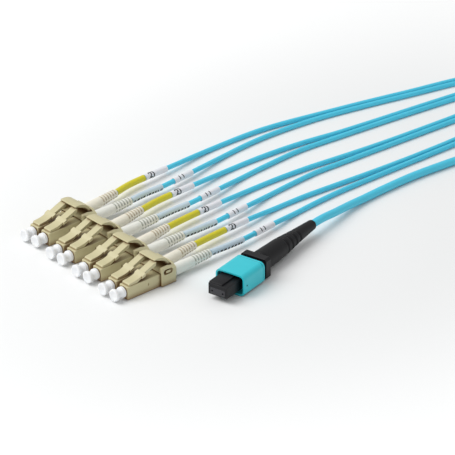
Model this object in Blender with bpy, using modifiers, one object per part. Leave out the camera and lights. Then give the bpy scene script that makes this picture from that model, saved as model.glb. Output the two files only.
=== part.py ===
"""Fibre breakout cable: a multi-fibre trunk plug, a trunk, a fan-out block and four duplex plugs.

The cable lies on a level floor at z = 0. +X runs from the duplex plugs' dust caps to their boots,
+Y to the back duplex, +Z up. The origin is the middle of the underside of the front plug housing.
Lengths are in metres. The places are first given in the harness frame, whose zero is the front duplex:
the middle of its two plugs' front faces, on the floor.
"""

import math

import bmesh
import bpy
from mathutils import Matrix, Vector

MM = 0.001
GAP = 0.3 * MM

# Duplex row
DUPLEX_COUNT = 4
DUPLEX_PITCH = 16.6 * MM
DUPLEX_STAGGER = 1.7 * MM
PLUG_PITCH = 6.25 * MM

# Plug housing, with its latch and its ceramic ferrule
PLUG_LENGTH = 22.3 * MM
PLUG_WIDTH = 4.5 * MM
PLUG_HEIGHT = 5.2 * MM
PLUG_AXIS = 2.9 * MM
PLUG_BEVEL = 0.25 * MM
PIN_DIAMETER = 1.25 * MM
PIN_LENGTH = 4.0 * MM
LATCH_FRONT = 1.0 * MM
LATCH_ROOT_END = 5.0 * MM
LATCH_END = 14.3 * MM
LATCH_FRONT_RISE = 0.9 * MM
LATCH_ROOT_RISE = 1.3 * MM
LATCH_END_RISE = 5.1 * MM
LATCH_THICKNESS = 1.0 * MM
LATCH_END_THICKNESS = 1.6 * MM
LATCH_ROOT_WIDTH = 3.6 * MM
LATCH_WIDTH = 2.8 * MM
LUG_START = 6.9 * MM
LUG_LENGTH = 1.7 * MM
LUG_WIDTH = 4.5 * MM
LUG_DROP = 0.8 * MM

# Duplex clip with its trigger hood
CLIP_FRONT = 15.3 * MM
CLIP_BASE = 0.1 * MM
CLIP_HEIGHT = 7.5 * MM
CLIP_WALL = 0.7 * MM
CLIP_BEVEL = 0.3 * MM
HOOD_FRONT = 13.7 * MM
HOOD_WIDTH = 8.5 * MM
HOOD_THICKNESS = 0.45 * MM
HOOD_CLEARANCE = 0.3 * MM
# The hood's side view, as millimetres behind its front edge and below its top
HOOD_TOP = ((1.6, 0.0), (2.7, 0.15), (3.7, 0.4), (4.7, 0.8), (5.6, 1.35), (6.4, 2.15), (7.0, 3.1), (7.5, 4.0))
HOOD_UNDER = ((6.3, 4.0), (5.9, 3.3), (5.1, 2.25), (4.3, 1.8), (3.3, 1.4), (1.9, 0.9), (0.9, 0.45))

# Dust cap
CAP_LENGTH = 4.6 * MM
CAP_DISC_DIAMETER = 4.6 * MM
CAP_DISC_THICKNESS = 1.0 * MM
CAP_WAIST_DIAMETER = 3.4 * MM
CAP_COLLAR_DIAMETER = 4.2 * MM
CAP_COLLAR_LENGTH = 1.2 * MM

# Plug boot
BOOT_SEAT = 0.7 * MM
BOOT_LENGTH = 18.6 * MM
BOOT_BASE_DIAMETER = 4.6 * MM
BOOT_COLLAR = 0.06
BOOT_TIP_DIAMETER = 3.2 * MM
BOOT_GROOVES = 6
BOOT_GROOVE_START = 9.9 * MM
BOOT_GROOVE_PITCH = 1.4 * MM
BOOT_GROOVE_DEPTH = 0.3 * MM
BOOT_TURN = {"a": math.radians(8.4), "b": math.radians(2.2)}
BOOT_LIFT = {"a": math.radians(0.8), "b": math.radians(0.6)}

# Legs and the sleeves on them
LEG_DIAMETER = 1.9 * MM
SLEEVE_CLEARANCE = 0.15 * MM
SLEEVE_WALL = 0.15 * MM
YELLOW_LENGTH = 16.2 * MM
LABEL_LENGTH = {"a": 11.5 * MM, "b": 10.3 * MM}
BARE_START = 16.1 * MM
BARE_LENGTH = 6.6 * MM

# Trunk plug
TRUNK_PLUG_PLACE = (23.4 * MM, -27.2 * MM)
TRUNK_PLUG_TURN = math.radians(13.5)
NOSE_LENGTH = 18.3 * MM
NOSE_WIDTH = 8.1 * MM
NOSE_HEIGHT = 4.43 * MM
NOSE_LIFT = 0.15 * MM
NOSE_BEVEL = 0.2 * MM
NOSE_REACH = 7.7 * MM
KEY_SHELF = 2.4 * MM
KEY_RISE = 0.65 * MM
KEY_REAR = 1.0 * MM
FERRULE_WIDTH = 6.4 * MM
FERRULE_HEIGHT = 2.5 * MM
FERRULE_LENGTH = 5.0 * MM
FERRULE_CLEARANCE = 0.1 * MM
FERRULE_DROP = 0.4 * MM
FERRULE_PROUD = 0.1 * MM
GUIDE_HOLE_DIAMETER = 0.7 * MM
GUIDE_HOLE_PITCH = 4.6 * MM
GUIDE_HOLE_DEPTH = 3.0 * MM
SLEEVE_LENGTH = 13.05 * MM
SLEEVE_WIDTH = 12.4 * MM
SLEEVE_HEIGHT = 8.4 * MM
SLEEVE_CORNER = 2.0 * MM
SLEEVE_RIM = 0.7 * MM
SLEEVE_MOUTH_DEPTH = 3.0 * MM
SLEEVE_TRAVEL = 1.5 * MM
STEM_WIDTH = 9.4 * MM
STEM_HEIGHT = 5.4 * MM
FLANGE_LENGTH = 3.0 * MM
FLANGE_WIDTH = 11.2 * MM
FLANGE_HEIGHT = 8.3 * MM
FLANGE_BEVEL = 0.8 * MM
TRUNK_BOOT_LENGTH = 35.0 * MM
# The trunk boot's diameter, in millimetres, at a share of its length
TRUNK_BOOT_TAPER = ((0.0, 8.3), (0.39, 7.4), (0.89, 4.0), (1.0, 3.9))
TRUNK_BOOT_LIFT = math.radians(0.4)
TRUNK_BOOT_GROOVES = 4
TRUNK_BOOT_GROOVE_START = 13.8 * MM
TRUNK_BOOT_GROOVE_PITCH = 3.0 * MM
TRUNK_BOOT_GROOVE_DEPTH = 0.5 * MM

# Trunk, its coil and its tie
TRUNK_DIAMETER = 3.0 * MM
TRUNK_FLOOR = 1.52 * MM
COIL_EXIT = ((0.0, 4.9), (24.0, 3.0), (36.0, 1.52))
COIL_PLACE = (225.0 * MM, -31.5 * MM)
COIL_OUTER_TURN = 21.0 * MM
COIL_INNER_TURN = 13.5 * MM
COIL_LAYERS = 2
COIL_BASE = 0.8 * MM
TIE_THICKNESS = 0.5 * MM
TIE_WIDTH = 5.0 * MM

# Fan-out block
FAN_PLACE = (256.0 * MM, 20.0 * MM)
FAN_LENGTH = 20.0 * MM
FAN_HEIGHT = 5.4 * MM
FAN_PORT_PITCH = 2.6 * MM
FAN_LEAD = 9.0 * MM
FAN_LEAD_DROP = 0.6 * MM
FAN_BEVEL = 0.8 * MM
FAN_NOSE_LENGTH = 8.0 * MM
FAN_NOSE_BASE_DIAMETER = 5.0 * MM
FAN_NOSE_TIP_DIAMETER = 4.0 * MM

# What a leg's route shares in every duplex, in millimetres from the duplex's own zero
ROUTE_START = {
    "a": [(50.0, 7.2, 2.9), (59.5, 7.9, 2.75), (71.3, 8.9, 2.2)],
    "b": [(50.0, -2.0, 2.8), (58.3, -1.8, 2.65), (65.4, -1.1, 2.5), (76.4, 0.5, 2.05)],
}
# How much nearer the front each duplex's legs start, in millimetres, because each pair bends its own way
ROUTE_SWAY = {1: -0.65, 2: -0.35, 3: 0.2, 4: 0.35}
# The rest of each leg's route across the floor, in millimetres in the harness frame
FLOOR_Z = 0.96
ROUTES = {
    "1a": [(98.0, 61.7), (120.0, 61.4), (132.8, 59.8), (149.8, 56.2), (170.0, 51.7), (190.0, 46.8),
           (210.0, 42.2), (230.0, 35.9)],
    "1b": [(99.4, 54.2), (114.0, 55.5), (127.8, 55.5), (147.4, 53.6), (169.4, 49.2), (189.4, 44.4),
           (209.4, 39.7), (229.6, 33.4)],
    "2a": [(92.0, 44.4), (110.3, 44.2), (128.0, 42.6), (145.4, 39.6), (165.0, 37.1), (185.0, 34.8),
           (205.0, 32.2), (230.0, 28.2)],
    "2b": [(92.0, 36.4), (104.8, 37.6), (124.0, 38.5), (142.6, 36.9), (164.8, 34.7), (185.0, 32.4),
           (205.0, 29.8), (230.0, 25.7)],
    "3a": [(87.0, 27.1), (102.2, 26.9), (117.0, 25.9), (130.8, 24.2), (150.0, 22.1), (170.0, 20.6),
           (190.0, 19.5), (225.0, 18.8)],
    "3b": [(90.0, 19.2), (103.1, 20.4), (116.0, 21.1), (127.0, 20.6), (148.0, 19.4), (170.0, 18.2),
           (190.0, 17.1), (225.0, 16.3)],
    "4a": [(85.0, 10.0), (100.0, 9.8), (115.8, 8.6), (130.0, 7.4), (142.0, 6.6), (158.0, 5.9),
           (175.0, 5.7), (200.0, 7.2), (228.0, 11.0)],
    "4b": [(88.0, 2.2), (100.0, 3.3), (111.6, 3.9), (126.0, 3.9), (142.0, 3.6), (158.0, 3.3),
           (175.0, 3.1), (200.0, 4.5), (228.0, 8.5)],
}
# The trunk's route from its plug to the coil, in millimetres in the harness frame
TRUNK_ROUTE = [(88.7, -11.7, 4.2), (96.0, -10.2, 3.3), (105.0, -8.3, 2.3), (115.0, -7.0, 1.6),
               (124.0, -6.4, 1.52), (140.0, -6.1, 1.52), (156.0, -7.2, 1.52), (176.0, -9.2, 1.52),
               (196.0, -10.3, 1.52)]

# Colours, roughness
BEIGE = ("beige_plastic", (0.66, 0.63, 0.47), 0.45)
WHITE = ("white_plastic", (0.83, 0.84, 0.83), 0.4)
CAP_WHITE = ("cap_plastic", (0.86, 0.87, 0.87), 0.35)
YELLOW = ("yellow_tube", (0.69, 0.60, 0.03), 0.4)
LABEL = ("white_tube", (0.80, 0.81, 0.84), 0.5)
AQUA_JACKET = ("aqua_jacket", (0.08, 0.52, 0.68), 0.45)
AQUA_PLASTIC = ("aqua_plastic", (0.06, 0.60, 0.63), 0.35)
BLACK = ("black_plastic", (0.02, 0.02, 0.025), 0.4)
GREY = ("grey_ferrule", (0.06, 0.06, 0.07), 0.5)


def clear_scene():
    """Removes what a new Blender file holds."""
    for obj in list(bpy.data.objects):
        bpy.data.objects.remove(obj, do_unlink=True)


def make_material(name, colour, roughness):
    """A Principled material, made once for each name."""
    found = bpy.data.materials.get(name)
    if found:
        return found
    material = bpy.data.materials.new(name)
    material.use_nodes = True
    shader = material.node_tree.nodes["Principled BSDF"]
    shader.inputs["Base Color"].default_value = (*colour, 1.0)
    shader.inputs["Roughness"].default_value = roughness
    shader.inputs["Metallic"].default_value = 0.0
    return material


def scratch_object(mesh):
    """A working object for a mesh, which is removed when its shape has been read."""
    obj = bpy.data.objects.new("shape", mesh)
    bpy.context.scene.collection.objects.link(obj)
    return obj


def read_mesh(obj, *extra):
    """The evaluated mesh of a working object. It and the extra objects are removed."""
    bpy.context.view_layer.update()
    graph = bpy.context.evaluated_depsgraph_get()
    mesh = bpy.data.meshes.new_from_object(obj.evaluated_get(graph))
    mesh.transform(obj.matrix_world)
    for used in (obj, *extra):
        bpy.data.objects.remove(used, do_unlink=True)
    return mesh


def box(low, high, bevel=0.0, along_x=False, segments=1):
    """A box mesh between two corners. along_x bevels only its edges that run along X."""
    work = bmesh.new()
    bmesh.ops.create_cube(work, size=1.0)
    size = Vector(high) - Vector(low)
    bmesh.ops.scale(work, vec=size, verts=work.verts)
    bmesh.ops.translate(work, vec=(Vector(low) + Vector(high)) / 2, verts=work.verts)
    if bevel:
        edges = [e for e in work.edges if not along_x or abs((e.verts[0].co - e.verts[1].co).x) > size.x / 2]
        limit = 0.45 * min(size.y, size.z) if along_x else 0.45 * min(size)
        bmesh.ops.bevel(work, geom=edges, offset=min(bevel, limit), segments=segments, profile=0.5,
                        affect="EDGES")
    mesh = bpy.data.meshes.new("box")
    work.to_mesh(mesh)
    work.free()
    return mesh


def welded(mesh):
    """The mesh with points that lie within two micrometres of each other made one."""
    work = bmesh.new()
    work.from_mesh(mesh)
    bmesh.ops.remove_doubles(work, verts=work.verts, dist=0.002 * MM)
    work.to_mesh(mesh)
    work.free()
    return mesh


def outline(points, width):
    """A solid of that width across Y whose side view is the outline, given as (x, z) points."""
    curve = bpy.data.curves.new("outline", "CURVE")
    curve.dimensions = "2D"
    curve.fill_mode = "BOTH"
    curve.extrude = width / 2
    spline = curve.splines.new("POLY")
    spline.points.add(len(points) - 1)
    for point, (x, z) in zip(spline.points, points):
        point.co = (x, z, 0.0, 1.0)
    spline.use_cyclic_u = True
    obj = scratch_object(curve)
    obj.rotation_euler = (math.radians(90), 0, 0)
    return welded(read_mesh(obj))


def combine(mesh, operation, *others):
    """The mesh joined with, or cut by, the other meshes."""
    obj = scratch_object(mesh)
    used = []
    for other in others:
        tool = scratch_object(other)
        modifier = obj.modifiers.new("combine", "BOOLEAN")
        modifier.operation = operation
        modifier.object = tool
        used.append(tool)
    return welded(read_mesh(obj, *used))


def turned(profile, sides):
    """A body turned about the X axis. The profile's (x, radius) points run from front to rear."""
    mesh = bpy.data.meshes.new("profile")
    rows = [(radius, 0.0, -x) for x, radius in profile]
    mesh.from_pydata(rows, [(i, i + 1) for i in range(len(rows) - 1)], [])
    obj = scratch_object(mesh)
    screw = obj.modifiers.new("turn", "SCREW")
    screw.axis = "Z"
    screw.angle = math.tau
    screw.steps = sides
    screw.render_steps = sides
    screw.use_merge_vertices = True
    screw.merge_threshold = 0.000001
    obj.rotation_euler = (0, math.radians(-90), 0)
    return read_mesh(obj)


def moved(mesh, *offset):
    """The mesh, moved."""
    mesh.transform(Matrix.Translation(offset))
    return mesh


def smooth_line(points):
    """Close points along a smooth curve through the given ones, read about every half millimetre."""
    known = [Vector(p) for p in points]
    known = [2 * known[0] - known[1], *known, 2 * known[-1] - known[-2]]
    line = [known[1]]
    for before, start, end, after in zip(known, known[1:], known[2:], known[3:]):
        span = (end - start).length
        leave = (end - before).normalized() * span
        arrive = (after - start).normalized() * span
        count = max(2, round(span / (0.5 * MM)))
        for i in range(1, count + 1):
            t = i / count
            line.append(start * (2 * t**3 - 3 * t**2 + 1) + leave * (t**3 - 2 * t**2 + t)
                        + end * (3 * t**2 - 2 * t**3) + arrive * (t**3 - t**2))
    return line


def stretch(line, start, end, step):
    """Even points on the line from one length along it to another, about a step apart."""
    lengths = [0.0]
    for a, b in zip(line, line[1:]):
        lengths.append(lengths[-1] + (b - a).length)
    end = lengths[-1] if end is None else end
    count = max(2, math.ceil((end - start) / step))
    found = []
    place = 0
    for i in range(count + 1):
        wanted = start + (end - start) * i / count
        while place < len(line) - 2 and lengths[place + 1] < wanted:
            place += 1
        share = (wanted - lengths[place]) / (lengths[place + 1] - lengths[place])
        found.append(line[place].lerp(line[place + 1], share))
    return found


def tube_curve(points, diameter, capped=True):
    """A round tube's curve through the points, with eight sides."""
    curve = bpy.data.curves.new("tube", "CURVE")
    curve.dimensions = "3D"
    curve.bevel_depth = diameter / 2
    curve.bevel_resolution = 2
    curve.use_fill_caps = capped
    spline = curve.splines.new("POLY")
    spline.points.add(len(points) - 1)
    for point, place in zip(spline.points, points):
        point.co = (*place, 1.0)
    return curve


def sleeve_mesh(points, bore, wall):
    """A thin tube of that bore and wall along the points, open at both ends."""
    obj = scratch_object(tube_curve(points, bore + 2 * wall, capped=False))
    mesh = read_mesh(obj)
    shell = scratch_object(mesh)
    solidify = shell.modifiers.new("wall", "SOLIDIFY")
    solidify.thickness = wall
    solidify.offset = -1.0
    return read_mesh(shell)


class Assembly:
    """Collects the named pieces under one empty."""

    def __init__(self, name, place):
        self.collection = bpy.data.collections.new(name)
        bpy.context.scene.collection.children.link(self.collection)
        self.frame = self.empty(name + "_frame", place)

    def empty(self, name, place, turn=0.0, parent=None):
        """An empty that places what is parented to it."""
        frame = bpy.data.objects.new(name, None)
        self.collection.objects.link(frame)
        frame.location = place
        frame.rotation_euler = (0, 0, turn)
        frame.parent = parent
        return frame

    def add(self, name, data, material, parent=None, place=(0, 0, 0), rotation=(0, 0, 0)):
        """A named piece with its material, under the given empty or the assembly's own."""
        piece = bpy.data.objects.new(name, data)
        self.collection.objects.link(piece)
        piece.parent = parent or self.frame
        piece.location = place
        piece.rotation_euler = rotation
        data.materials.clear()
        data.materials.append(make_material(*material))
        if isinstance(data, bpy.types.Mesh):
            data.shade_smooth()
            data.set_sharp_from_angle(angle=math.radians(35))
        return piece


def plug_housing_mesh():
    """A plug housing with its cantilever latch, the latch's lugs and the ferrule that the cap covers."""
    half = PLUG_WIDTH / 2
    body = box((0, -half, 0), (PLUG_LENGTH, half, PLUG_HEIGHT), PLUG_BEVEL)
    top = PLUG_HEIGHT
    root_slope = (LATCH_ROOT_RISE - LATCH_FRONT_RISE) / (LATCH_ROOT_END - LATCH_FRONT)
    arm_slope = (LATCH_END_RISE - LATCH_ROOT_RISE) / (LATCH_END - LATCH_ROOT_END)

    def latch_top(x):
        slope = root_slope if x < LATCH_ROOT_END else arm_slope
        return top + LATCH_ROOT_RISE + slope * (x - LATCH_ROOT_END)

    sink = 0.4 * LATCH_THICKNESS
    nose = 0.3 * LATCH_THICKNESS
    lug_end = LUG_START + LUG_LENGTH
    front = [
        (LATCH_ROOT_END, top - sink),
        (LATCH_FRONT, top - sink),
        (LATCH_FRONT, latch_top(LATCH_FRONT) - nose),
        (LATCH_FRONT + nose, latch_top(LATCH_FRONT + nose)),
        (LATCH_ROOT_END, latch_top(LATCH_ROOT_END))]
    root = outline([*front, (lug_end, latch_top(lug_end)), (lug_end, latch_top(lug_end) - LATCH_THICKNESS)],
                   LATCH_ROOT_WIDTH)
    arm = outline([
        *front,
        (LATCH_END - nose, latch_top(LATCH_END - nose)),
        (LATCH_END, latch_top(LATCH_END) - nose),
        (LATCH_END - nose / 2, latch_top(LATCH_END) - LATCH_END_THICKNESS)], LATCH_WIDTH)
    inset = 0.1 * LATCH_THICKNESS
    lugs = outline([
        (LUG_START, latch_top(LUG_START) - LATCH_THICKNESS),
        (LUG_START, latch_top(LUG_START) - inset),
        (lug_end, latch_top(lug_end) - inset),
        (lug_end, latch_top(lug_end) - LUG_DROP)], LUG_WIDTH)
    pin = turned([(-PIN_LENGTH, 0), (-PIN_LENGTH, PIN_DIAMETER / 2), (PLUG_BEVEL, PIN_DIAMETER / 2),
                  (PLUG_BEVEL, 0)], 10)
    return combine(body, "UNION", root, arm, lugs, moved(pin, 0, 0, PLUG_AXIS))


def clip_mesh():
    """The duplex clip: two sides and a middle wall under a top, with the trigger hood arching forward."""
    half = PLUG_PITCH / 2 + PLUG_WIDTH / 2 + GAP + CLIP_WALL
    rear = PLUG_LENGTH
    top = CLIP_BASE + CLIP_HEIGHT
    block = box((CLIP_FRONT, -half, CLIP_BASE), (rear, half, top), CLIP_BEVEL)
    cuts = []
    for side in (-1, 1):
        middle = side * PLUG_PITCH / 2
        reach = PLUG_WIDTH / 2 + GAP
        cuts.append(box((CLIP_FRONT - MM, middle - reach, CLIP_BASE - MM),
                        (rear + MM, middle + reach, PLUG_HEIGHT + GAP)))
    block = combine(block, "DIFFERENCE", *cuts)
    over = PLUG_HEIGHT + LATCH_END_RISE + HOOD_CLEARANCE + HOOD_THICKNESS
    lip = 0.3 * HOOD_THICKNESS
    points = [(HOOD_FRONT, over - HOOD_THICKNESS), (HOOD_FRONT, over - lip)]
    points += [(HOOD_FRONT + back * MM, over - down * MM) for back, down in HOOD_TOP + HOOD_UNDER]
    return combine(block, "UNION", outline(points, HOOD_WIDTH))


def cap_mesh():
    """The dust cap: a wide front disc, a waist and a rear collar, bored for the ferrule."""
    front = -GAP - CAP_LENGTH
    disc, waist, collar = CAP_DISC_DIAMETER / 2, CAP_WAIST_DIAMETER / 2, CAP_COLLAR_DIAMETER / 2
    edge = 0.25 * MM
    bore = PIN_DIAMETER / 2 + GAP
    return turned([
        (front, 0),
        (front, disc - edge),
        (front + edge, disc),
        (front + CAP_DISC_THICKNESS, disc),
        (front + CAP_DISC_THICKNESS + edge, waist),
        (-GAP - CAP_COLLAR_LENGTH - edge, waist),
        (-GAP - CAP_COLLAR_LENGTH, collar),
        (-GAP, collar),
        (-GAP, bore),
        (-PIN_LENGTH - GAP, bore),
        (-PIN_LENGTH - GAP, 0)], 14)


def grooved_boot(length, taper, grooves, start, pitch, depth, sides):
    """A tapered boot along +X with ring grooves. taper gives its diameter at shares of its length."""

    def radius(x):
        share = x / length
        for (low, wide), (high, narrow) in zip(taper, taper[1:]):
            if share <= high:
                return (wide + (narrow - wide) * (share - low) / (high - low)) / 2
        return taper[-1][1] / 2

    marks = [(share * length, radius(share * length)) for share, _ in taper[:-1]]
    for i in range(grooves):
        x = start + i * pitch
        marks = [mark for mark in marks if not x <= mark[0] <= x + pitch / 2]
        marks += [(x, radius(x)), (x + pitch / 4, radius(x) - depth), (x + pitch / 2, radius(x + pitch / 2))]
    tip = radius(length)
    edge = 0.2 * tip
    end = [(length - edge, radius(length - edge)), (length, tip - edge), (length, 0)]
    return turned([(0, 0), *sorted(marks), *end], sides)


def boot_tip(side, extra=0.0):
    """The middle of a plug boot's tip, in its duplex's frame, with an extra length along its axis."""
    turn, lift = BOOT_TURN[side], BOOT_LIFT[side]
    reach = BOOT_LENGTH + extra
    y = PLUG_PITCH / 2 if side == "a" else -PLUG_PITCH / 2
    return Vector((PLUG_LENGTH + BOOT_SEAT + reach * math.cos(lift) * math.cos(turn),
                   y + reach * math.cos(lift) * math.sin(turn),
                   PLUG_AXIS + reach * math.sin(lift)))


def duplex_place(number):
    """A duplex's zero in the harness frame. Number 1 is at the back."""
    behind = DUPLEX_COUNT - number
    return Vector((behind * DUPLEX_STAGGER, behind * DUPLEX_PITCH, 0))


def port_place(index):
    """Where a leg meets the fan-out block, with the usual gap."""
    across = (DUPLEX_COUNT * 2 - 1) / 2 - index
    return Vector((FAN_PLACE[0] - GAP, FAN_PLACE[1] + across * FAN_PORT_PITCH, FAN_HEIGHT / 2))


def leg_line(number, side):
    """A leg's smooth centreline from its plug boot to the fan-out block, in the harness frame."""
    place = duplex_place(number)
    port = port_place((number - 1) * 2 + (side == "b"))
    points = [place + boot_tip(side, GAP)]
    points += [place + Vector((x, y - ROUTE_SWAY[number], z)) * MM for x, y, z in ROUTE_START[side]]
    points += [Vector((x, y, FLOOR_Z)) * MM for x, y in ROUTES[f"{number}{side}"]]
    points += [port - Vector((FAN_LEAD, 0, FAN_LEAD_DROP)), port]
    return smooth_line(points)


def add_duplexes(harness):
    """The four duplex plugs, with their caps, boots, legs, sleeves and labels."""
    housing = plug_housing_mesh()
    clip = clip_mesh()
    cap = cap_mesh()
    taper = ((0.0, BOOT_BASE_DIAMETER), (BOOT_COLLAR, BOOT_BASE_DIAMETER), (1.0, BOOT_TIP_DIAMETER))
    boot = grooved_boot(BOOT_LENGTH, taper, BOOT_GROOVES, BOOT_GROOVE_START, BOOT_GROOVE_PITCH,
                        BOOT_GROOVE_DEPTH, 12)
    bore = LEG_DIAMETER + 2 * SLEEVE_CLEARANCE
    for number in range(1, DUPLEX_COUNT + 1):
        frame = harness.empty(f"duplex_{number}", duplex_place(number), parent=harness.frame)
        harness.add(f"duplex_clip_{number}", clip, BEIGE, frame)
        for side, y in (("a", PLUG_PITCH / 2), ("b", -PLUG_PITCH / 2)):
            tag = f"{number}{side}"
            harness.add(f"plug_housing_{tag}", housing, BEIGE, frame, (0, y, 0))
            harness.add(f"dust_cap_{tag}", cap, CAP_WHITE, frame, (0, y, PLUG_AXIS))
            seat = (PLUG_LENGTH + BOOT_SEAT, y, PLUG_AXIS)
            harness.add(f"plug_boot_{tag}", boot, WHITE, frame, seat, (0, -BOOT_LIFT[side], BOOT_TURN[side]))
            line = leg_line(number, side)
            step = 4 * LEG_DIAMETER
            harness.add(f"leg_{tag}", tube_curve(stretch(line, 0, None, step), LEG_DIAMETER), AQUA_JACKET)
            label_start = BARE_START + BARE_LENGTH
            if side == "a":
                label_start = YELLOW_LENGTH + GAP
                points = stretch(line, 0, YELLOW_LENGTH, step)
                harness.add(f"yellow_sleeve_{number}", sleeve_mesh(points, bore, SLEEVE_WALL), YELLOW)
            points = stretch(line, label_start, label_start + LABEL_LENGTH[side], step)
            harness.add(f"label_sleeve_{tag}", sleeve_mesh(points, bore, SLEEVE_WALL), LABEL)


def add_trunk_plug(harness):
    """The multi-fibre plug. Its own X axis runs from the nose to the boot."""
    place = (*TRUNK_PLUG_PLACE, SLEEVE_HEIGHT / 2)
    frame = harness.empty("trunk_plug", place, TRUNK_PLUG_TURN, harness.frame)
    half_w = NOSE_WIDTH / 2
    low, high = NOSE_LIFT - NOSE_HEIGHT / 2, NOSE_LIFT + NOSE_HEIGHT / 2
    nose = box((0, -half_w, low), (NOSE_LENGTH, half_w, high), NOSE_BEVEL)
    key = box((NOSE_BEVEL, KEY_SHELF - half_w, high - 3 * NOSE_BEVEL),
              (NOSE_LENGTH - KEY_REAR, half_w - NOSE_BEVEL, high + KEY_RISE), NOSE_BEVEL)
    nose = combine(nose, "UNION", key)
    pocket_w = FERRULE_WIDTH / 2 + FERRULE_CLEARANCE
    pocket_h = FERRULE_HEIGHT / 2 + FERRULE_CLEARANCE
    pocket_end = FERRULE_LENGTH + FERRULE_CLEARANCE
    pocket = box((-MM, -pocket_w, -pocket_h - FERRULE_DROP), (pocket_end, pocket_w, pocket_h - FERRULE_DROP))
    harness.add("trunk_plug_housing", combine(nose, "DIFFERENCE", pocket), BLACK, frame)

    ferrule = box((-FERRULE_PROUD, -FERRULE_WIDTH / 2, -FERRULE_HEIGHT / 2 - FERRULE_DROP),
                  (FERRULE_LENGTH, FERRULE_WIDTH / 2, FERRULE_HEIGHT / 2 - FERRULE_DROP))
    hole = GUIDE_HOLE_DIAMETER / 2
    holes = []
    for side in (-1, 1):
        cutter = turned([(-MM, 0), (-MM, hole), (GUIDE_HOLE_DEPTH, hole), (GUIDE_HOLE_DEPTH, 0)], 8)
        holes.append(moved(cutter, 0, side * GUIDE_HOLE_PITCH / 2, -FERRULE_DROP))
    harness.add("trunk_plug_ferrule", combine(ferrule, "DIFFERENCE", *holes), GREY, frame)

    half_w, half_h = SLEEVE_WIDTH / 2, SLEEVE_HEIGHT / 2
    rear = NOSE_REACH + SLEEVE_LENGTH
    sleeve = box((NOSE_REACH, -half_w, -half_h), (rear, half_w, half_h), SLEEVE_CORNER, True, 3)
    mouth = box((NOSE_REACH - MM, SLEEVE_RIM - half_w, SLEEVE_RIM - half_h),
                (NOSE_REACH + SLEEVE_MOUTH_DEPTH, half_w - SLEEVE_RIM, half_h - SLEEVE_RIM),
                SLEEVE_CORNER - SLEEVE_RIM, True, 3)
    window = box((NOSE_REACH + MM, -NOSE_WIDTH / 2 - GAP, low - GAP),
                 (rear + MM, NOSE_WIDTH / 2 + GAP, high + KEY_RISE + GAP))
    stem_w, stem_h = STEM_WIDTH / 2, STEM_HEIGHT / 2
    stem_front = NOSE_LENGTH + GAP
    shoulder = stem_front - SLEEVE_TRAVEL - GAP
    well = box((shoulder, -stem_w - GAP, -stem_h - GAP), (rear + MM, stem_w + GAP, stem_h + GAP))
    harness.add("trunk_plug_sleeve", combine(sleeve, "DIFFERENCE", mouth, window, well), AQUA_PLASTIC, frame)

    flange_front = rear + SLEEVE_TRAVEL + GAP
    flange_rear = flange_front + FLANGE_LENGTH
    half_w, half_h = FLANGE_WIDTH / 2, FLANGE_HEIGHT / 2
    flange = box((flange_front, -half_w, -half_h), (flange_rear, half_w, half_h), FLANGE_BEVEL, True)
    stem = box((stem_front, -stem_w, -stem_h), (flange_front + MM, stem_w, stem_h))
    harness.add("trunk_plug_rear_body", combine(flange, "UNION", stem), BLACK, frame)

    taper = [(share, diameter * MM) for share, diameter in TRUNK_BOOT_TAPER]
    boot = grooved_boot(TRUNK_BOOT_LENGTH, taper, TRUNK_BOOT_GROOVES, TRUNK_BOOT_GROOVE_START,
                        TRUNK_BOOT_GROOVE_PITCH, TRUNK_BOOT_GROOVE_DEPTH, 20)
    seat = flange_rear + GAP
    harness.add("trunk_plug_boot", boot, BLACK, frame, (seat, 0, 0), (0, -TRUNK_BOOT_LIFT, 0))
    reach = TRUNK_BOOT_LENGTH + GAP
    along = seat + reach * math.cos(TRUNK_BOOT_LIFT)
    return Vector(place) + Vector((along * math.cos(TRUNK_PLUG_TURN), along * math.sin(TRUNK_PLUG_TURN),
                                   reach * math.sin(TRUNK_BOOT_LIFT)))


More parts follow.
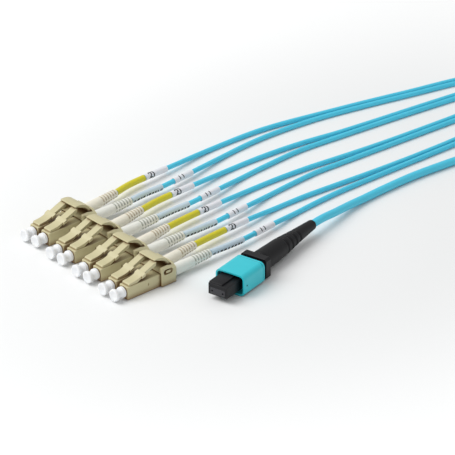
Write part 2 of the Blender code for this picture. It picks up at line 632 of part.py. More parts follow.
def add_trunk(harness, start):
    """The trunk's run from its plug, its coil and tie, and its tail into the fan-out block."""
    radius = TRUNK_DIAMETER / 2
    step = 3 * TRUNK_DIAMETER
    centre = Vector((*COIL_PLACE, 0))
    coil_top = centre.y + COIL_OUTER_TURN
    inner, outer = COIL_INNER_TURN - radius, COIL_OUTER_TURN + radius
    meet = math.sqrt(outer**2 - (COIL_OUTER_TURN - radius) ** 2) + 2 * GAP
    points = [start] + [Vector(p) * MM for p in TRUNK_ROUTE]
    points.append(Vector((centre.x - meet, coil_top, COIL_BASE + 0.4 * TRUNK_DIAMETER)))
    run = stretch(smooth_line(points), 0, None, step)
    harness.add("trunk_run", tube_curve(run, TRUNK_DIAMETER), AQUA_JACKET)

    height = COIL_LAYERS * TRUNK_DIAMETER
    ring = turned([(-height, inner), (-height, outer), (0, outer), (0, inner), (-height, inner)], 32)
    ring.transform(Matrix.Rotation(math.radians(90), 4, "Y"))
    harness.add("trunk_coil", ring, AQUA_JACKET, place=centre + Vector((0, 0, COIL_BASE)))

    low, high = inner - 2 * GAP, outer + GAP
    top = COIL_BASE + height + GAP
    band = box((-TIE_WIDTH / 2, -high - TIE_THICKNESS, 0),
               (TIE_WIDTH / 2, -low + TIE_THICKNESS, top + TIE_THICKNESS), 0.2 * MM)
    opening = box((-TIE_WIDTH, -high, TIE_THICKNESS), (TIE_WIDTH, -low, top))
    harness.add("coil_tie", combine(band, "DIFFERENCE", opening), BLACK, place=centre)

    nose_tip = Vector((FAN_PLACE[0] + FAN_LENGTH + FAN_NOSE_LENGTH + GAP, FAN_PLACE[1], FAN_HEIGHT / 2))
    bend = (nose_tip.y - coil_top) / 2
    turn_x = nose_tip.x + TRUNK_DIAMETER
    points = [Vector((centre.x + max(meet, x * MM), coil_top, z * MM)) for x, z in COIL_EXIT]
    steps = 5
    for i in range(steps + 1):
        angle = math.radians(-90 + 180 * i / steps)
        rise = (nose_tip.z - TRUNK_FLOOR) * i / steps
        points.append(Vector((turn_x + bend * math.cos(angle), coil_top + bend + bend * math.sin(angle),
                              TRUNK_FLOOR + rise)))
    points.append(nose_tip)
    tail = stretch(smooth_line(points), 0, None, step)
    harness.add("trunk_tail", tube_curve(tail, TRUNK_DIAMETER), AQUA_JACKET)


def add_fan_out(harness):
    """The block where the trunk's fibres go into the eight legs."""
    half = DUPLEX_COUNT * FAN_PORT_PITCH + FAN_PORT_PITCH / 4
    block = box((0, -half, 0), (FAN_LENGTH, half, FAN_HEIGHT), FAN_BEVEL)
    base, tip = FAN_NOSE_BASE_DIAMETER / 2, FAN_NOSE_TIP_DIAMETER / 2
    nose = turned([(-MM, 0), (-MM, base), (0, base), (FAN_NOSE_LENGTH, tip), (FAN_NOSE_LENGTH, 0)], 16)
    block = combine(block, "UNION", moved(nose, FAN_LENGTH, 0, FAN_HEIGHT / 2))
    harness.add("fan_out_block", block, BLACK, place=(*FAN_PLACE, 0))


def main():
    """Builds the whole cable."""
    clear_scene()
    origin = (-PLUG_LENGTH / 2, PLUG_PITCH / 2, 0)
    harness = Assembly("fibre_breakout_cable", origin)
    add_duplexes(harness)
    start = add_trunk_plug(harness)
    add_trunk(harness, start)
    add_fan_out(harness)


main()
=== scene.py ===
"""Looks of a fibre breakout cable: one multi-fibre plug, a trunk, a fan-out block, four duplex plugs.

Everything is in metres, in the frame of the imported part. The harness frame's zero is the middle of the
front duplex's two front faces, on the floor. Its X axis runs from the dust caps to the boots, its Y axis
to the back duplex. Each class holds the sizes of one sub-assembly, builds its meshes and dresses them.
"""

from __future__ import annotations

import logging
import math
import random
from dataclasses import dataclass, field
from enum import Enum
from typing import Iterable, Sequence

import bmesh
import bpy
from mathutils import Matrix, Vector


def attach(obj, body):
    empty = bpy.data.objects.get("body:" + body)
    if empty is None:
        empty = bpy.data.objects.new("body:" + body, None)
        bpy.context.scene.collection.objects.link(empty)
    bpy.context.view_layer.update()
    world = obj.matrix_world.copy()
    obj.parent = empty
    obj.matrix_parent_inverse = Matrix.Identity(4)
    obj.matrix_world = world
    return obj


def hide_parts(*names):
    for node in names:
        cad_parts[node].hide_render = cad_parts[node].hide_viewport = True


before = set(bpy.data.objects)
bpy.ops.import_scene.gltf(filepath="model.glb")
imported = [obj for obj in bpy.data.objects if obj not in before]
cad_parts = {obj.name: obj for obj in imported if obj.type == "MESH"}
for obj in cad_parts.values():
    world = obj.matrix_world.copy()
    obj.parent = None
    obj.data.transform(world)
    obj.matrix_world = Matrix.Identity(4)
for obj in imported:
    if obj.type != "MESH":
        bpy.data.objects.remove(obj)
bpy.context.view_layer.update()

log = logging.getLogger("fibre_breakout_cable")

MM = 0.001
GAP = 0.3 * MM
HARNESS_ZERO = Vector((-11.15, 3.125, 0.0)) * MM
DUPLEX_COUNT = 4
DUPLEX_STEP = Vector((1.7, 16.6, 0.0)) * MM
PLUG_PITCH = 6.25 * MM
ROUND = 48
# How far the gloss wanders below and above a finish's own roughness
GLOSS_BELOW = 0.05
GLOSS_ABOVE = 0.07
# A recess is all painted shade colour at the first share of open sky, and has none of it at the second
PAINTED_SHADE_RANGE = (0.3, 0.9)
PAINTED_SHADE_SAMPLES = 12
# How far red, green and blue light pass inside white plastic, as shares of the scatter length
SCATTER_SHARES = (1.0, 0.95, 0.9)


class Side(Enum):
    """Which of a duplex's two plugs: the far one, towards the back, or the near one."""

    FAR = "a"
    NEAR = "b"

    @property
    def sign(self) -> int:
        """Where the plug lies across its duplex."""
        return 1 if self is Side.FAR else -1


class Grain(Enum):
    """How a surface was made, as the depth in millimetres of its finest relief."""

    POLISHED = 0.0
    MOULDED = 0.012
    SPARK_ERODED = 0.03
    EXTRUDED = 0.02
    WOVEN = 0.06


def linear(code: str) -> tuple[float, float, float, float]:
    """Turns an sRGB hex colour to linear values.

    Args:
        code: The colour as six hex digits.

    Returns:
        Red, green, blue and a full alpha.
    """
    parts = [int(code[i:i + 2], 16) / 255 for i in (0, 2, 4)]
    red, green, blue = [c / 12.92 if c <= 0.04045 else ((c + 0.055) / 1.055) ** 2.4 for c in parts]
    return red, green, blue, 1.0


def add_node(tree: bpy.types.NodeTree, kind: str, inputs: dict[str | int, object] | None = None,
             **settings: object) -> bpy.types.Node:
    """Adds a node with its settings and links.

    Args:
        tree: The node tree.
        kind: The node's type.
        inputs: A value, or a socket to link from, for each input.
        **settings: The node's own settings.

    Returns:
        The node.
    """
    node = tree.nodes.new(kind)
    for name, value in settings.items():
        setattr(node, name, value)
    for key, value in (inputs or {}).items():
        if isinstance(value, bpy.types.NodeSocket):
            tree.links.new(value, node.inputs[key])
        else:
            node.inputs[key].default_value = value
    return node


@dataclass(frozen=True)
class Finish:
    """A real material, how its surface was made, what that gives the eye, and any painted shade in its
    recesses.
    """

    name: str
    slot: str
    colour: str
    mottle: str
    roughness: float
    grain: Grain
    # Real moulded or extruded grain is finer than the picture shows, so it is drawn as coarse as a pixel
    # or more
    grain_mm: float
    ior: float = 1.5
    patch_mm: float = 6.0
    # Painted shade: a darker colour mixed in where ambient occlusion finds little open sky, and how far
    # the occlusion looks
    deep: str | None = None
    painted_shade_reach_mm: float = 2.0
    scatter: float = 0.0
    scatter_mm: float = 0.6
    coat: float = 0.0

    def material(self) -> bpy.types.Material:
        """The material, made once for each name."""
        found = bpy.data.materials.get(self.name)
        if found:
            return found
        material = bpy.data.materials.new(self.name)
        material.use_nodes = True
        tree = material.node_tree
        shader = tree.nodes["Principled BSDF"]
        place = add_node(tree, "ShaderNodeTexCoord").outputs["Object"]
        patch = add_node(tree, "ShaderNodeTexNoise",
                         {"Vector": place, "Scale": 1 / (self.patch_mm * MM), "Detail": 3.0})
        tone = add_node(tree, "ShaderNodeMix",
                        {0: patch.outputs["Fac"], 6: linear(self.colour), 7: linear(self.mottle)},
                        data_type="RGBA").outputs[2]
        # Painted shade: the deep colour takes over the tone in recesses, by how little open sky the
        # occlusion node finds
        if self.deep:
            near = add_node(tree, "ShaderNodeAmbientOcclusion", {"Distance": self.painted_shade_reach_mm * MM},
                            samples=PAINTED_SHADE_SAMPLES)
            open_share = add_node(tree, "ShaderNodeMapRange",
                                  {"Value": near.outputs["AO"], 1: PAINTED_SHADE_RANGE[0], 2: PAINTED_SHADE_RANGE[1]})
            tone = add_node(tree, "ShaderNodeMix",
                            {0: open_share.outputs["Result"], 6: linear(self.deep), 7: tone},
                            data_type="RGBA").outputs[2]
        tree.links.new(tone, shader.inputs["Base Color"])
        gloss = add_node(tree, "ShaderNodeMapRange",
                         {"Value": patch.outputs["Fac"], 3: self.roughness - GLOSS_BELOW,
                          4: self.roughness + GLOSS_ABOVE})
        tree.links.new(gloss.outputs["Result"], shader.inputs["Roughness"])
        shader.inputs["IOR"].default_value = self.ior
        shader.inputs["Coat Weight"].default_value = self.coat
        shader.inputs["Subsurface Weight"].default_value = self.scatter
        shader.inputs["Subsurface Scale"].default_value = self.scatter_mm * MM
        shader.inputs["Subsurface Radius"].default_value = SCATTER_SHARES
        if self.grain is not Grain.POLISHED:
            fine = add_node(tree, "ShaderNodeTexNoise",
                            {"Vector": place, "Scale": 1 / (self.grain_mm * MM), "Detail": 2.0})
            bump = add_node(tree, "ShaderNodeBump",
                            {"Height": fine.outputs["Fac"], "Distance": self.grain.value * MM,
                             "Strength": 1.0})
            tree.links.new(bump.outputs["Normal"], shader.inputs["Normal"])
        return material


# Polyetherimide, moulded in a fine spark-eroded mould: matt and warm, with brown painted shade in its
# recesses
BEIGE_PEI = Finish("beige_polyetherimide_moulded", "beige_plastic", "CDC59F", "C3BB91", 0.45,
                   Grain.SPARK_ERODED, 0.35, deep="7A5428", painted_shade_reach_mm=3.4)
# Low-density polyethylene, moulded: soft white, with light passing a little way in
CAP_POLYETHYLENE = Finish("white_polyethylene_cap", "cap_plastic", "F1F2F3", "EBEDEF", 0.34,
                          Grain.MOULDED, 0.8, scatter=0.35, scatter_mm=0.9)
# Thermoplastic elastomer, moulded: matt white, with warm painted shade in its slots, tinted as a painted
# reflection of the yellow tube beside it
BOOT_FAR_ELASTOMER = Finish("white_elastomer_boot_far", "white_plastic", "EFEBDC", "E8E3D1", 0.48,
                            Grain.MOULDED, 0.5, deep="8C744A", painted_shade_reach_mm=1.0, scatter=0.05)
# The same elastomer, with greenish grey painted shade in the slots of the near boot
BOOT_NEAR_ELASTOMER = Finish("white_elastomer_boot_near", "white_plastic", "ECECE4", "E4E5DC", 0.48,
                             Grain.MOULDED, 0.5, deep="6A7362", painted_shade_reach_mm=1.0, scatter=0.05)
# Polyolefin tube, heat shrunk: smooth yellow with a soft gloss
YELLOW_POLYOLEFIN = Finish("yellow_polyolefin_shrunk", "yellow_tube", "D9CF23", "D0C61F", 0.36,
                           Grain.EXTRUDED, 1.2, coat=0.1)
# Polyolefin tube, heat shrunk: matt white, slightly cool
LABEL_POLYOLEFIN = Finish("white_polyolefin_shrunk", "white_tube", "E9EAEE", "E2E4E9", 0.5,
                          Grain.EXTRUDED, 1.2)
# Clear film over the aqua jacket, shrunk: reads as a pale grey blue
FILM_POLYOLEFIN = Finish("clear_polyolefin_film", "white_tube", "CFE0EA", "B4CCDB", 0.3,
                         Grain.EXTRUDED, 1.5, coat=0.4)
# Marking ink, dark grey and dry
MARKING_INK = Finish("dark_marking_ink", "black_plastic", "25282A", "323638", 0.7, Grain.POLISHED, 1.0)
# Low-smoke jacket, extruded: satin aqua, very slightly uneven
AQUA_JACKET = Finish("aqua_jacket_extruded", "aqua_jacket", "50CFEC", "46C6E4", 0.42,
                     Grain.EXTRUDED, 0.9)
# ABS, moulded: clean aqua and satin, with dark painted shade in its recesses
AQUA_ABS = Finish("aqua_abs_moulded", "aqua_plastic", "30CAD8", "2BC2D0", 0.33, Grain.MOULDED, 0.4,
                  deep="0A5058", painted_shade_reach_mm=1.2)
# Glass-filled polymer, moulded: near black with a broad dull gloss, so its IOR is low
BLACK_POLYMER = Finish("black_polymer_moulded", "black_plastic", "111115", "0D0D11", 0.42,
                       Grain.SPARK_ERODED, 0.4, ior=1.38)
# Thermoplastic elastomer, moulded: near black, duller than the plug, with a low IOR too
BLACK_ELASTOMER = Finish("black_elastomer_boot", "black_rubber", "0F0F12", "0B0B0E", 0.5,
                         Grain.MOULDED, 0.6, ior=1.38)
# Filled polyphenylene sulphide, moulded and polished: dark grey
GREY_FERRULE = Finish("grey_sulphide_ferrule", "grey_ferrule", "343439", "2D2D32", 0.45,
                      Grain.MOULDED, 0.3)
# Zirconia, ground and polished: white, hard and glossy
ZIRCONIA = Finish("white_zirconia_ground", "cap_plastic", "F4F2EC", "EFECE5", 0.12, Grain.POLISHED, 1.0,
                  ior=2.1)
# Woven hook-and-loop strap: black, fuzzy
TIE_STRAP = Finish("black_woven_strap", "black_rubber", "232325", "2F2F32", 0.8, Grain.WOVEN, 0.5)


@dataclass
class Bench:
    """Puts finished pieces in the scene and reports each one."""

    collection: bpy.types.Collection

    def add(self, name: str, data: bpy.types.ID, finish: Finish, body: str = "harness",
            replaces: Iterable[str] = (), matrix: Matrix | None = None, bevel: float = 0.0,
            sharp: float = 38.0) -> bpy.types.Object:
        """Adds one piece.

        Args:
            name: The piece's name.
            data: Its mesh or curve.
            finish: What it is made of.
            body: The body that it rides on.
            replaces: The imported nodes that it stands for.
            matrix: Its place.
            bevel: The width of a bevel on its sharp edges.
            sharp: The angle in degrees over which an edge stays sharp.

        Returns:
            The object.
        """
        piece = bpy.data.objects.new(name, data)
        self.collection.objects.link(piece)
        if matrix is not None:
            piece.matrix_world = matrix
        data.materials.clear()
        data.materials.append(finish.material())
        if isinstance(data, bpy.types.Mesh):
            data.shade_smooth()
            data.set_sharp_from_angle(angle=math.radians(sharp))
            if bevel:
                edge = piece.modifiers.new("soft_edges", "BEVEL")
                edge.width = bevel
                edge.segments = 3
                edge.limit_method = "ANGLE"
                edge.angle_limit = math.radians(sharp)
                edge.harden_normals = True
        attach(piece, body)
        nodes = list(replaces)
        if nodes:
            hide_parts(*nodes)
        log.info("%s rides on %s", name, body)
        return piece


def finished_mesh(name: str, work: bmesh.types.BMesh) -> bpy.types.Mesh:
    """Welds a working mesh, turns its faces out and stores it.

    Args:
        name: The mesh's name.
        work: The working mesh, which is freed.

    Returns:
        The mesh.
    """
    bmesh.ops.remove_doubles(work, verts=work.verts, dist=1e-7)
    bmesh.ops.recalc_face_normals(work, faces=work.faces)
    mesh = bpy.data.meshes.new(name)
    work.to_mesh(mesh)
    work.free()
    return mesh


def skin(name: str, rings: Sequence[Sequence[Vector]], looped: bool = False) -> bpy.types.Mesh:
    """A closed mesh over rings of points.

    Args:
        name: The mesh's name.
        rings: Rings of equal count, one after another.
        looped: Whether the last ring joins the first one. Otherwise both are capped.

    Returns:
        The mesh.
    """
    work = bmesh.new()
    rows = [[work.verts.new(point) for point in ring] for ring in rings]
    pairs = list(zip(rows, rows[1:]))
    if looped:
        pairs.append((rows[-1], rows[0]))
    for near, far in pairs:
        for i in range(len(near)):
            j = (i + 1) % len(near)
            work.faces.new((near[i], near[j], far[j], far[i]))
    if not looped:
        work.faces.new(rows[0])
        work.faces.new(rows[-1])
    return finished_mesh(name, work)


def turned(name: str, profile: Sequence[tuple[float, float]], sides: int = ROUND,
           looped: bool = False) -> bpy.types.Mesh:
    """A body turned about the X axis from a profile of x and radius.

    Args:
        name: The mesh's name.
        profile: Pairs of x and radius, from one end to the other.
        sides: How many sides the body has.
        looped: Whether the profile closes on itself.

    Returns:
        The mesh.
    """
    turns = [math.tau * k / sides for k in range(sides)]
    return skin(name, [[Vector((x, r * math.cos(t), r * math.sin(t))) for t in turns] for x, r in profile],
                looped)


def block(name: str, low: Sequence[float], high: Sequence[float], radius: float = 0.0, segments: int = 3,
          along_x: bool = False) -> bpy.types.Mesh:
    """A box between two corners, with rounded edges.

    Args:
        name: The mesh's name.
        low: Its lowest corner.
        high: Its highest corner.
        radius: The radius of its edges.
        segments: How many faces each rounded edge has.
        along_x: Whether only the edges along X are rounded.

    Returns:
        The mesh.
    """
    work = bmesh.new()
    bmesh.ops.create_cube(work, size=1.0)
    size = Vector(high) - Vector(low)
    bmesh.ops.scale(work, vec=size, verts=work.verts)
    bmesh.ops.translate(work, vec=(Vector(low) + Vector(high)) / 2, verts=work.verts)
    if radius:
        edges = [e for e in work.edges
                 if not along_x or abs((e.verts[0].co - e.verts[1].co).x) > size.x / 2]
        bmesh.ops.bevel(work, geom=edges, offset=radius, segments=segments, profile=0.5, affect="EDGES")
    return finished_mesh(name, work)


def bar(name: str, start: float, end: float, width: float, height: float, lift: float = 0.0,
        radius: float = 0.0, segments: int = 3, along_x: bool = False) -> bpy.types.Mesh:
    """A box along the X axis, with its middle on the axis or lifted off it.

    Args:
        name: The mesh's name.
        start: Its lower X.
        end: Its higher X.
        width: Its size along Y.
        height: Its size along Z.
        lift: How far its middle lies above the axis.
        radius: The radius of its edges.
        segments: How many faces each rounded edge has.
        along_x: Whether only the edges along X are rounded.

    Returns:
        The mesh.
    """
    return block(name, (start, -width / 2, lift - height / 2), (end, width / 2, lift + height / 2),
                 radius, segments, along_x)


def prism(name: str, outline: Sequence[tuple[float, float]], width: float) -> bpy.types.Mesh:
    """A solid of that width across Y whose side view is the outline of x and z."""
    rings = [[Vector((x, y, z)) for x, z in outline] for y in (-width / 2, width / 2)]
    return skin(name, rings)


def bend_between(start: tuple[float, float], pull: tuple[float, float], end: tuple[float, float],
                 count: int = 8) -> list[tuple[float, float]]:
    """Points on the curve from start to end that a third point pulls towards itself.

    Args:
        start: The first point.
        pull: The point that pulls the curve.
        end: The last point.
        count: How many steps it has.

    Returns:
        The points, both ends included.
    """
    found = []
    for i in range(count + 1):
        t = i / count
        found.append(tuple((1 - t) ** 2 * a + 2 * t * (1 - t) * b + t * t * c
                           for a, b, c in zip(start, pull, end)))
    return found


def shifted(mesh: bpy.types.Mesh, x: float = 0.0, y: float = 0.0, z: float = 0.0) -> bpy.types.Mesh:
    """The mesh, moved."""
    mesh.transform(Matrix.Translation((x, y, z)))
    return mesh


def sliced(mesh: bpy.types.Mesh, point: Vector, normal: Vector) -> bpy.types.Mesh:
    """The mesh without what lies on the normal's side of a plane, closed again.

    Args:
        mesh: The mesh to cut.
        point: A point on the plane.
        normal: The plane's normal, towards what goes.

    Returns:
        The mesh.
    """
    work = bmesh.new()
    work.from_mesh(mesh)
    parts = [*work.verts, *work.edges, *work.faces]
    cut = bmesh.ops.bisect_plane(work, geom=parts, plane_co=point, plane_no=normal, clear_outer=True)
    edges = [e for e in cut["geom_cut"] if isinstance(e, bmesh.types.BMEdge)]
    bmesh.ops.edgenet_fill(work, edges=edges)
    return finished_mesh(mesh.name, work)


def combine(mesh: bpy.types.Mesh, operation: str, *others: bpy.types.Mesh) -> bpy.types.Mesh:
    """The mesh joined with, or cut by, the other meshes.

    Args:
        mesh: The first mesh.
        operation: UNION or DIFFERENCE.
        *others: The meshes that it is joined with, or cut by.

    Returns:
        The mesh.
    """
    obj = bpy.data.objects.new("shape", mesh)
    bpy.context.scene.collection.objects.link(obj)
    used = [obj]
    for other in others:
        tool = bpy.data.objects.new("tool", other)
        bpy.context.scene.collection.objects.link(tool)
        modifier = obj.modifiers.new("combine", "BOOLEAN")
        modifier.operation = operation
        modifier.object = tool
        used.append(tool)
    bpy.context.view_layer.update()
    graph = bpy.context.evaluated_depsgraph_get()
    made = bpy.data.meshes.new_from_object(obj.evaluated_get(graph))
    for item in used:
        bpy.data.objects.remove(item, do_unlink=True)
    return made


@dataclass
class Route:
    """A cord's centreline, as a smooth curve through its route's points."""

    through: Sequence[Vector]
    points: list[Vector] = field(init=False)
    lengths: list[float] = field(init=False)

    def __post_init__(self) -> None:
        """Works out the close points and the length up to each one."""
        known = [Vector(p) for p in self.through]
        known = [2 * known[0] - known[1], *known, 2 * known[-1] - known[-2]]
        line = [known[1]]
        for before, start, end, after in zip(known, known[1:], known[2:], known[3:]):
            span = (end - start).length
            leave = (end - before).normalized() * span
            arrive = (after - start).normalized() * span
            count = max(2, round(span / (0.5 * MM)))
            for i in range(1, count + 1):
                t = i / count
                line.append(start * (2 * t**3 - 3 * t**2 + 1) + leave * (t**3 - 2 * t**2 + t)
                            + end * (3 * t**2 - 2 * t**3) + arrive * (t**3 - t**2))
        self.points = line
        self.lengths = [0.0]
        for a, b in zip(line, line[1:]):
            self.lengths.append(self.lengths[-1] + (b - a).length)

    @property
    def length(self) -> float:
        """The whole length."""
        return self.lengths[-1]

    def at(self, distance: float) -> Vector:
        """The point at a length along the route.

        Args:
            distance: The length along the route.

        Returns:
            The point.
        """
        last = len(self.points) - 2
        low, high = 0, last
        while low < high:
            middle = (low + high + 1) // 2
            if self.lengths[middle] <= distance:
                low = middle
            else:
                high = middle - 1
        share = (distance - self.lengths[low]) / (self.lengths[low + 1] - self.lengths[low])
        return self.points[low].lerp(self.points[low + 1], share)

    def around(self, distance: float, radius: float, turn: float) -> Vector:
        """A point beside the route.

        Args:
            distance: The length along the route.
            radius: How far from the centreline.
            turn: The angle in radians from straight up towards the near side.

        Returns:
            The point.
        """
        ahead = (self.at(distance + 0.2 * MM) - self.at(distance - 0.2 * MM)).normalized()
        up = (Vector((0, 0, 1)) - ahead * ahead.z).normalized()
        near = ahead.cross(up)
        return self.at(distance) + radius * (math.cos(turn) * up + math.sin(turn) * near)

    def tube(self, name: str, start: float, end: float, bore: float, outside: float,
             sides: int = 28) -> bpy.types.Mesh:
        """A thin-walled tube on the route, with slightly rounded lips.

        Args:
            name: The mesh's name.
            start: Where it starts along the route.
            end: Where it ends along the route.
            bore: Its inner radius.
            outside: Its outer radius.
            sides: How many sides it has.

        Returns:
            The mesh.
        """
        lip = min(0.06 * MM, (outside - bore) / 3)
        count = max(4, math.ceil((end - start) / (1.2 * MM)))
        inner = [start + (end - start) * i / count for i in range(count + 1)]
        rows = [(start, outside - lip), (start + lip, outside)]
        rows += [(s, outside) for s in inner[1:-1]]
        rows += [(end - lip, outside), (end, outside - lip)]
        rows += [(s, bore) for s in reversed(inner)]
        turns = [math.tau * k / sides for k in range(sides)]
        return skin(name, [[self.around(s, r, t) for t in turns] for s, r in rows], looped=True)

    def curve(self, name: str, diameter: float, step: float, detail: int = 5) -> bpy.types.Curve:
        """A round cord on the whole route.

        Args:
            name: The curve's name.
            diameter: The cord's diameter.
            step: The most that lies between two points.
            detail: How round its section is.

        Returns:
            The curve.
        """
        curve = bpy.data.curves.new(name, "CURVE")
        curve.dimensions = "3D"
        curve.bevel_depth = diameter / 2
        curve.bevel_resolution = detail
        curve.use_fill_caps = True
        count = math.ceil(self.length / step)
        spline = curve.splines.new("POLY")
        spline.points.add(count)
        for i, point in enumerate(spline.points):
            point.co = (*self.at(self.length * i / count), 1.0)
        spline.use_smooth = True
        return curve


def harness(x: float, y: float, z: float) -> Vector:
    """A place given in millimetres in the harness frame."""
    return HARNESS_ZERO + Vector((x, y, z)) * MM


@dataclass(frozen=True)
class Viewpoint:
    """The photograph's camera, as a long lens that looks down along the row of plugs."""

    azimuth: float = math.radians(41.89)
    elevation: float = math.radians(28.19)
    distance: float = 1538.5 * MM
    scale: float = 2.802
    image_width: float = 455.0
    sensor: float = 36.0
    aim_right: float = 39.1 * MM
    aim_up: float = 24.34 * MM
    floor_offset: float = 0.15 * MM
    far_limit: float = 20.0

    def build(self) -> bpy.types.Object:
        """Adds the camera.

        Returns:
            The camera.
        """
        a, e = self.azimuth, self.elevation
        right = Vector((math.cos(a), -math.sin(a), 0))
        up = Vector((math.sin(a) * math.sin(e), math.cos(a) * math.sin(e), math.cos(e)))
        back = Vector((-math.sin(a) * math.cos(e), -math.cos(a) * math.cos(e), math.sin(e)))
        data = bpy.data.cameras.new("photo_view")
        data.sensor_width = self.sensor
        data.sensor_fit = "HORIZONTAL"
        data.lens = self.scale * self.distance / MM / self.image_width * self.sensor
        data.clip_end = self.far_limit
        camera = bpy.data.objects.new("photo_view", data)
        bpy.context.scene.collection.objects.link(camera)
        eye = HARNESS_ZERO + self.aim_right * right + self.aim_up * up + self.distance * back
        eye.z -= self.floor_offset
        turn = Matrix((right, up, back)).transposed().to_4x4()
        camera.matrix_world = Matrix.Translation(eye) @ turn
        bpy.context.scene.camera = camera
        return camera


@dataclass
class Studio:
    """A plain white floor under soft light from above."""

    floor_size: float = 6.0
    floor_colour: str = "F1F2F2"
    floor_roughness: float = 0.75
    # A painted glow whitens the floor away from the cable, by a place's length once it is scaled and
    # shifted
    painted_glow_scale: tuple[float, float, float] = (0.75, 1.15, 1.0)
    painted_glow_shift: tuple[float, float, float] = (-0.045, -0.012, 0.0)
    painted_glow_reach: tuple[float, float] = (0.075, 0.2)
    painted_glow_strength: float = 0.16
    sky: float = 0.56
    key_power: float = 6.0
    key_size: float = 0.7
    key_place: tuple[float, float, float] = (-0.38, 0.36, 0.72)
    aim: tuple[float, float, float] = (0.05, 0.02, 0.0)

    def paper(self) -> bpy.types.Material:
        """The floor's matt white, with a painted glow that brightens it to pure white away from the cable.

        Returns:
            The material.
        """
        paper = bpy.data.materials.new("white_studio_floor")
        paper.use_nodes = True
        tree = paper.node_tree
        shader = tree.nodes["Principled BSDF"]
        shader.inputs["Base Color"].default_value = linear(self.floor_colour)
        shader.inputs["Roughness"].default_value = self.floor_roughness
        shader.inputs["Emission Color"].default_value = linear("FFFFFF")
        place = add_node(tree, "ShaderNodeTexCoord").outputs["Object"]
        spot = add_node(tree, "ShaderNodeMapping",
                        {"Vector": place, "Location": self.painted_glow_shift, "Scale": self.painted_glow_scale})
        away = add_node(tree, "ShaderNodeVectorMath", {0: spot.outputs["Vector"]}, operation="LENGTH")
        lift = add_node(tree, "ShaderNodeMapRange",
                        {"Value": away.outputs["Value"], 1: self.painted_glow_reach[0], 2: self.painted_glow_reach[1],
                         3: 0.0, 4: self.painted_glow_strength}, interpolation_type="SMOOTHSTEP")
        # Painted glow: the floor emits white light that grows with distance from the cable
        tree.links.new(lift.outputs["Result"], shader.inputs["Emission Strength"])
        return paper

    def build_floor(self) -> None:
        """Adds the floor."""
        work = bmesh.new()
        bmesh.ops.create_grid(work, x_segments=1, y_segments=1, size=self.floor_size / 2)
        floor = bpy.data.objects.new("floor", finished_mesh("floor", work))
        bpy.context.scene.collection.objects.link(floor)
        floor.data.materials.append(self.paper())

    def build_sky(self) -> None:
        """Adds an even white sky, and shows colours as they are."""
        world = bpy.data.worlds.new("studio")
        world.use_nodes = True
        background = world.node_tree.nodes["Background"]
        background.inputs["Color"].default_value = linear("FFFFFF")
        background.inputs["Strength"].default_value = self.sky
        bpy.context.scene.world = world
        bpy.context.scene.view_settings.view_transform = "Standard"

    def build_key(self) -> None:
        """Adds the wide light, high up on the side of the caps and the back duplex."""
        light = bpy.data.lights.new("key", "AREA")
        light.size = self.key_size
        light.energy = self.key_power
        key = bpy.data.objects.new("key", light)
        bpy.context.scene.collection.objects.link(key)
        key.location = self.key_place
        away = Vector(self.key_place) - Vector(self.aim)
        key.rotation_euler = away.to_track_quat("Z", "Y").to_euler()

    def build(self) -> None:
        """Adds the floor, the sky and the light."""
        self.build_floor()
        self.build_sky()
        self.build_key()
        log.info("studio lit")


# What a leg's route shares in every duplex, in millimetres from the duplex's own zero
ROUTE_START = {
    Side.FAR: [(50.0, 7.2, 2.9), (59.5, 7.9, 2.75), (71.3, 8.9, 2.2)],
    Side.NEAR: [(50.0, -2.0, 2.8), (58.3, -1.8, 2.65), (65.4, -1.1, 2.5), (76.4, 0.5, 2.05)],
}
# How much nearer the front each duplex's legs start, in millimetres, because each pair bends its own way
ROUTE_SWAY = {1: -0.65, 2: -0.35, 3: 0.2, 4: 0.35}
# The rest of each leg's route across the floor, in millimetres in the harness frame
FLOOR_Z = 0.96
ROUTES = {
    "1a": [(98.0, 61.7), (120.0, 61.4), (132.8, 59.8), (149.8, 56.2), (170.0, 51.7), (190.0, 46.8),
           (210.0, 42.2), (230.0, 35.9)],
    "1b": [(99.4, 54.2), (114.0, 55.5), (127.8, 55.5), (147.4, 53.6), (169.4, 49.2), (189.4, 44.4),
           (209.4, 39.7), (229.6, 33.4)],
    "2a": [(92.0, 44.4), (110.3, 44.2), (128.0, 42.6), (145.4, 39.6), (165.0, 37.1), (185.0, 34.8),
           (205.0, 32.2), (230.0, 28.2)],
    "2b": [(92.0, 36.4), (104.8, 37.6), (124.0, 38.5), (142.6, 36.9), (164.8, 34.7), (185.0, 32.4),
           (205.0, 29.8), (230.0, 25.7)],
    "3a": [(87.0, 27.1), (102.2, 26.9), (117.0, 25.9), (130.8, 24.2), (150.0, 22.1), (170.0, 20.6),
           (190.0, 19.5), (225.0, 18.8)],
    "3b": [(90.0, 19.2), (103.1, 20.4), (116.0, 21.1), (127.0, 20.6), (148.0, 19.4), (170.0, 18.2),
           (190.0, 17.1), (225.0, 16.3)],
    "4a": [(85.0, 10.0), (100.0, 9.8), (115.8, 8.6), (130.0, 7.4), (142.0, 6.6), (158.0, 5.9),
           (175.0, 5.7), (200.0, 7.2), (228.0, 11.0)],
    "4b": [(88.0, 2.2), (100.0, 3.3), (111.6, 3.9), (126.0, 3.9), (142.0, 3.6), (158.0, 3.3),
           (175.0, 3.1), (200.0, 4.5), (228.0, 8.5)],
}
# The trunk's route from its plug to the coil, in millimetres in the harness frame
TRUNK_ROUTE = [(88.7, -11.7, 4.2), (96.0, -10.2, 3.3), (105.0, -8.3, 2.3), (115.0, -7.0, 1.6),
               (124.0, -6.4, 1.52), (140.0, -6.1, 1.52), (156.0, -7.2, 1.52), (176.0, -9.2, 1.52),
               (196.0, -10.3, 1.52)]
# The trunk's height on the floor, and where it comes down from its coil, in millimetres from the middle
TRUNK_FLOOR = 1.52 * MM
COIL_EXIT = ((0.0, 4.9), (24.0, 3.0), (36.0, 1.52))


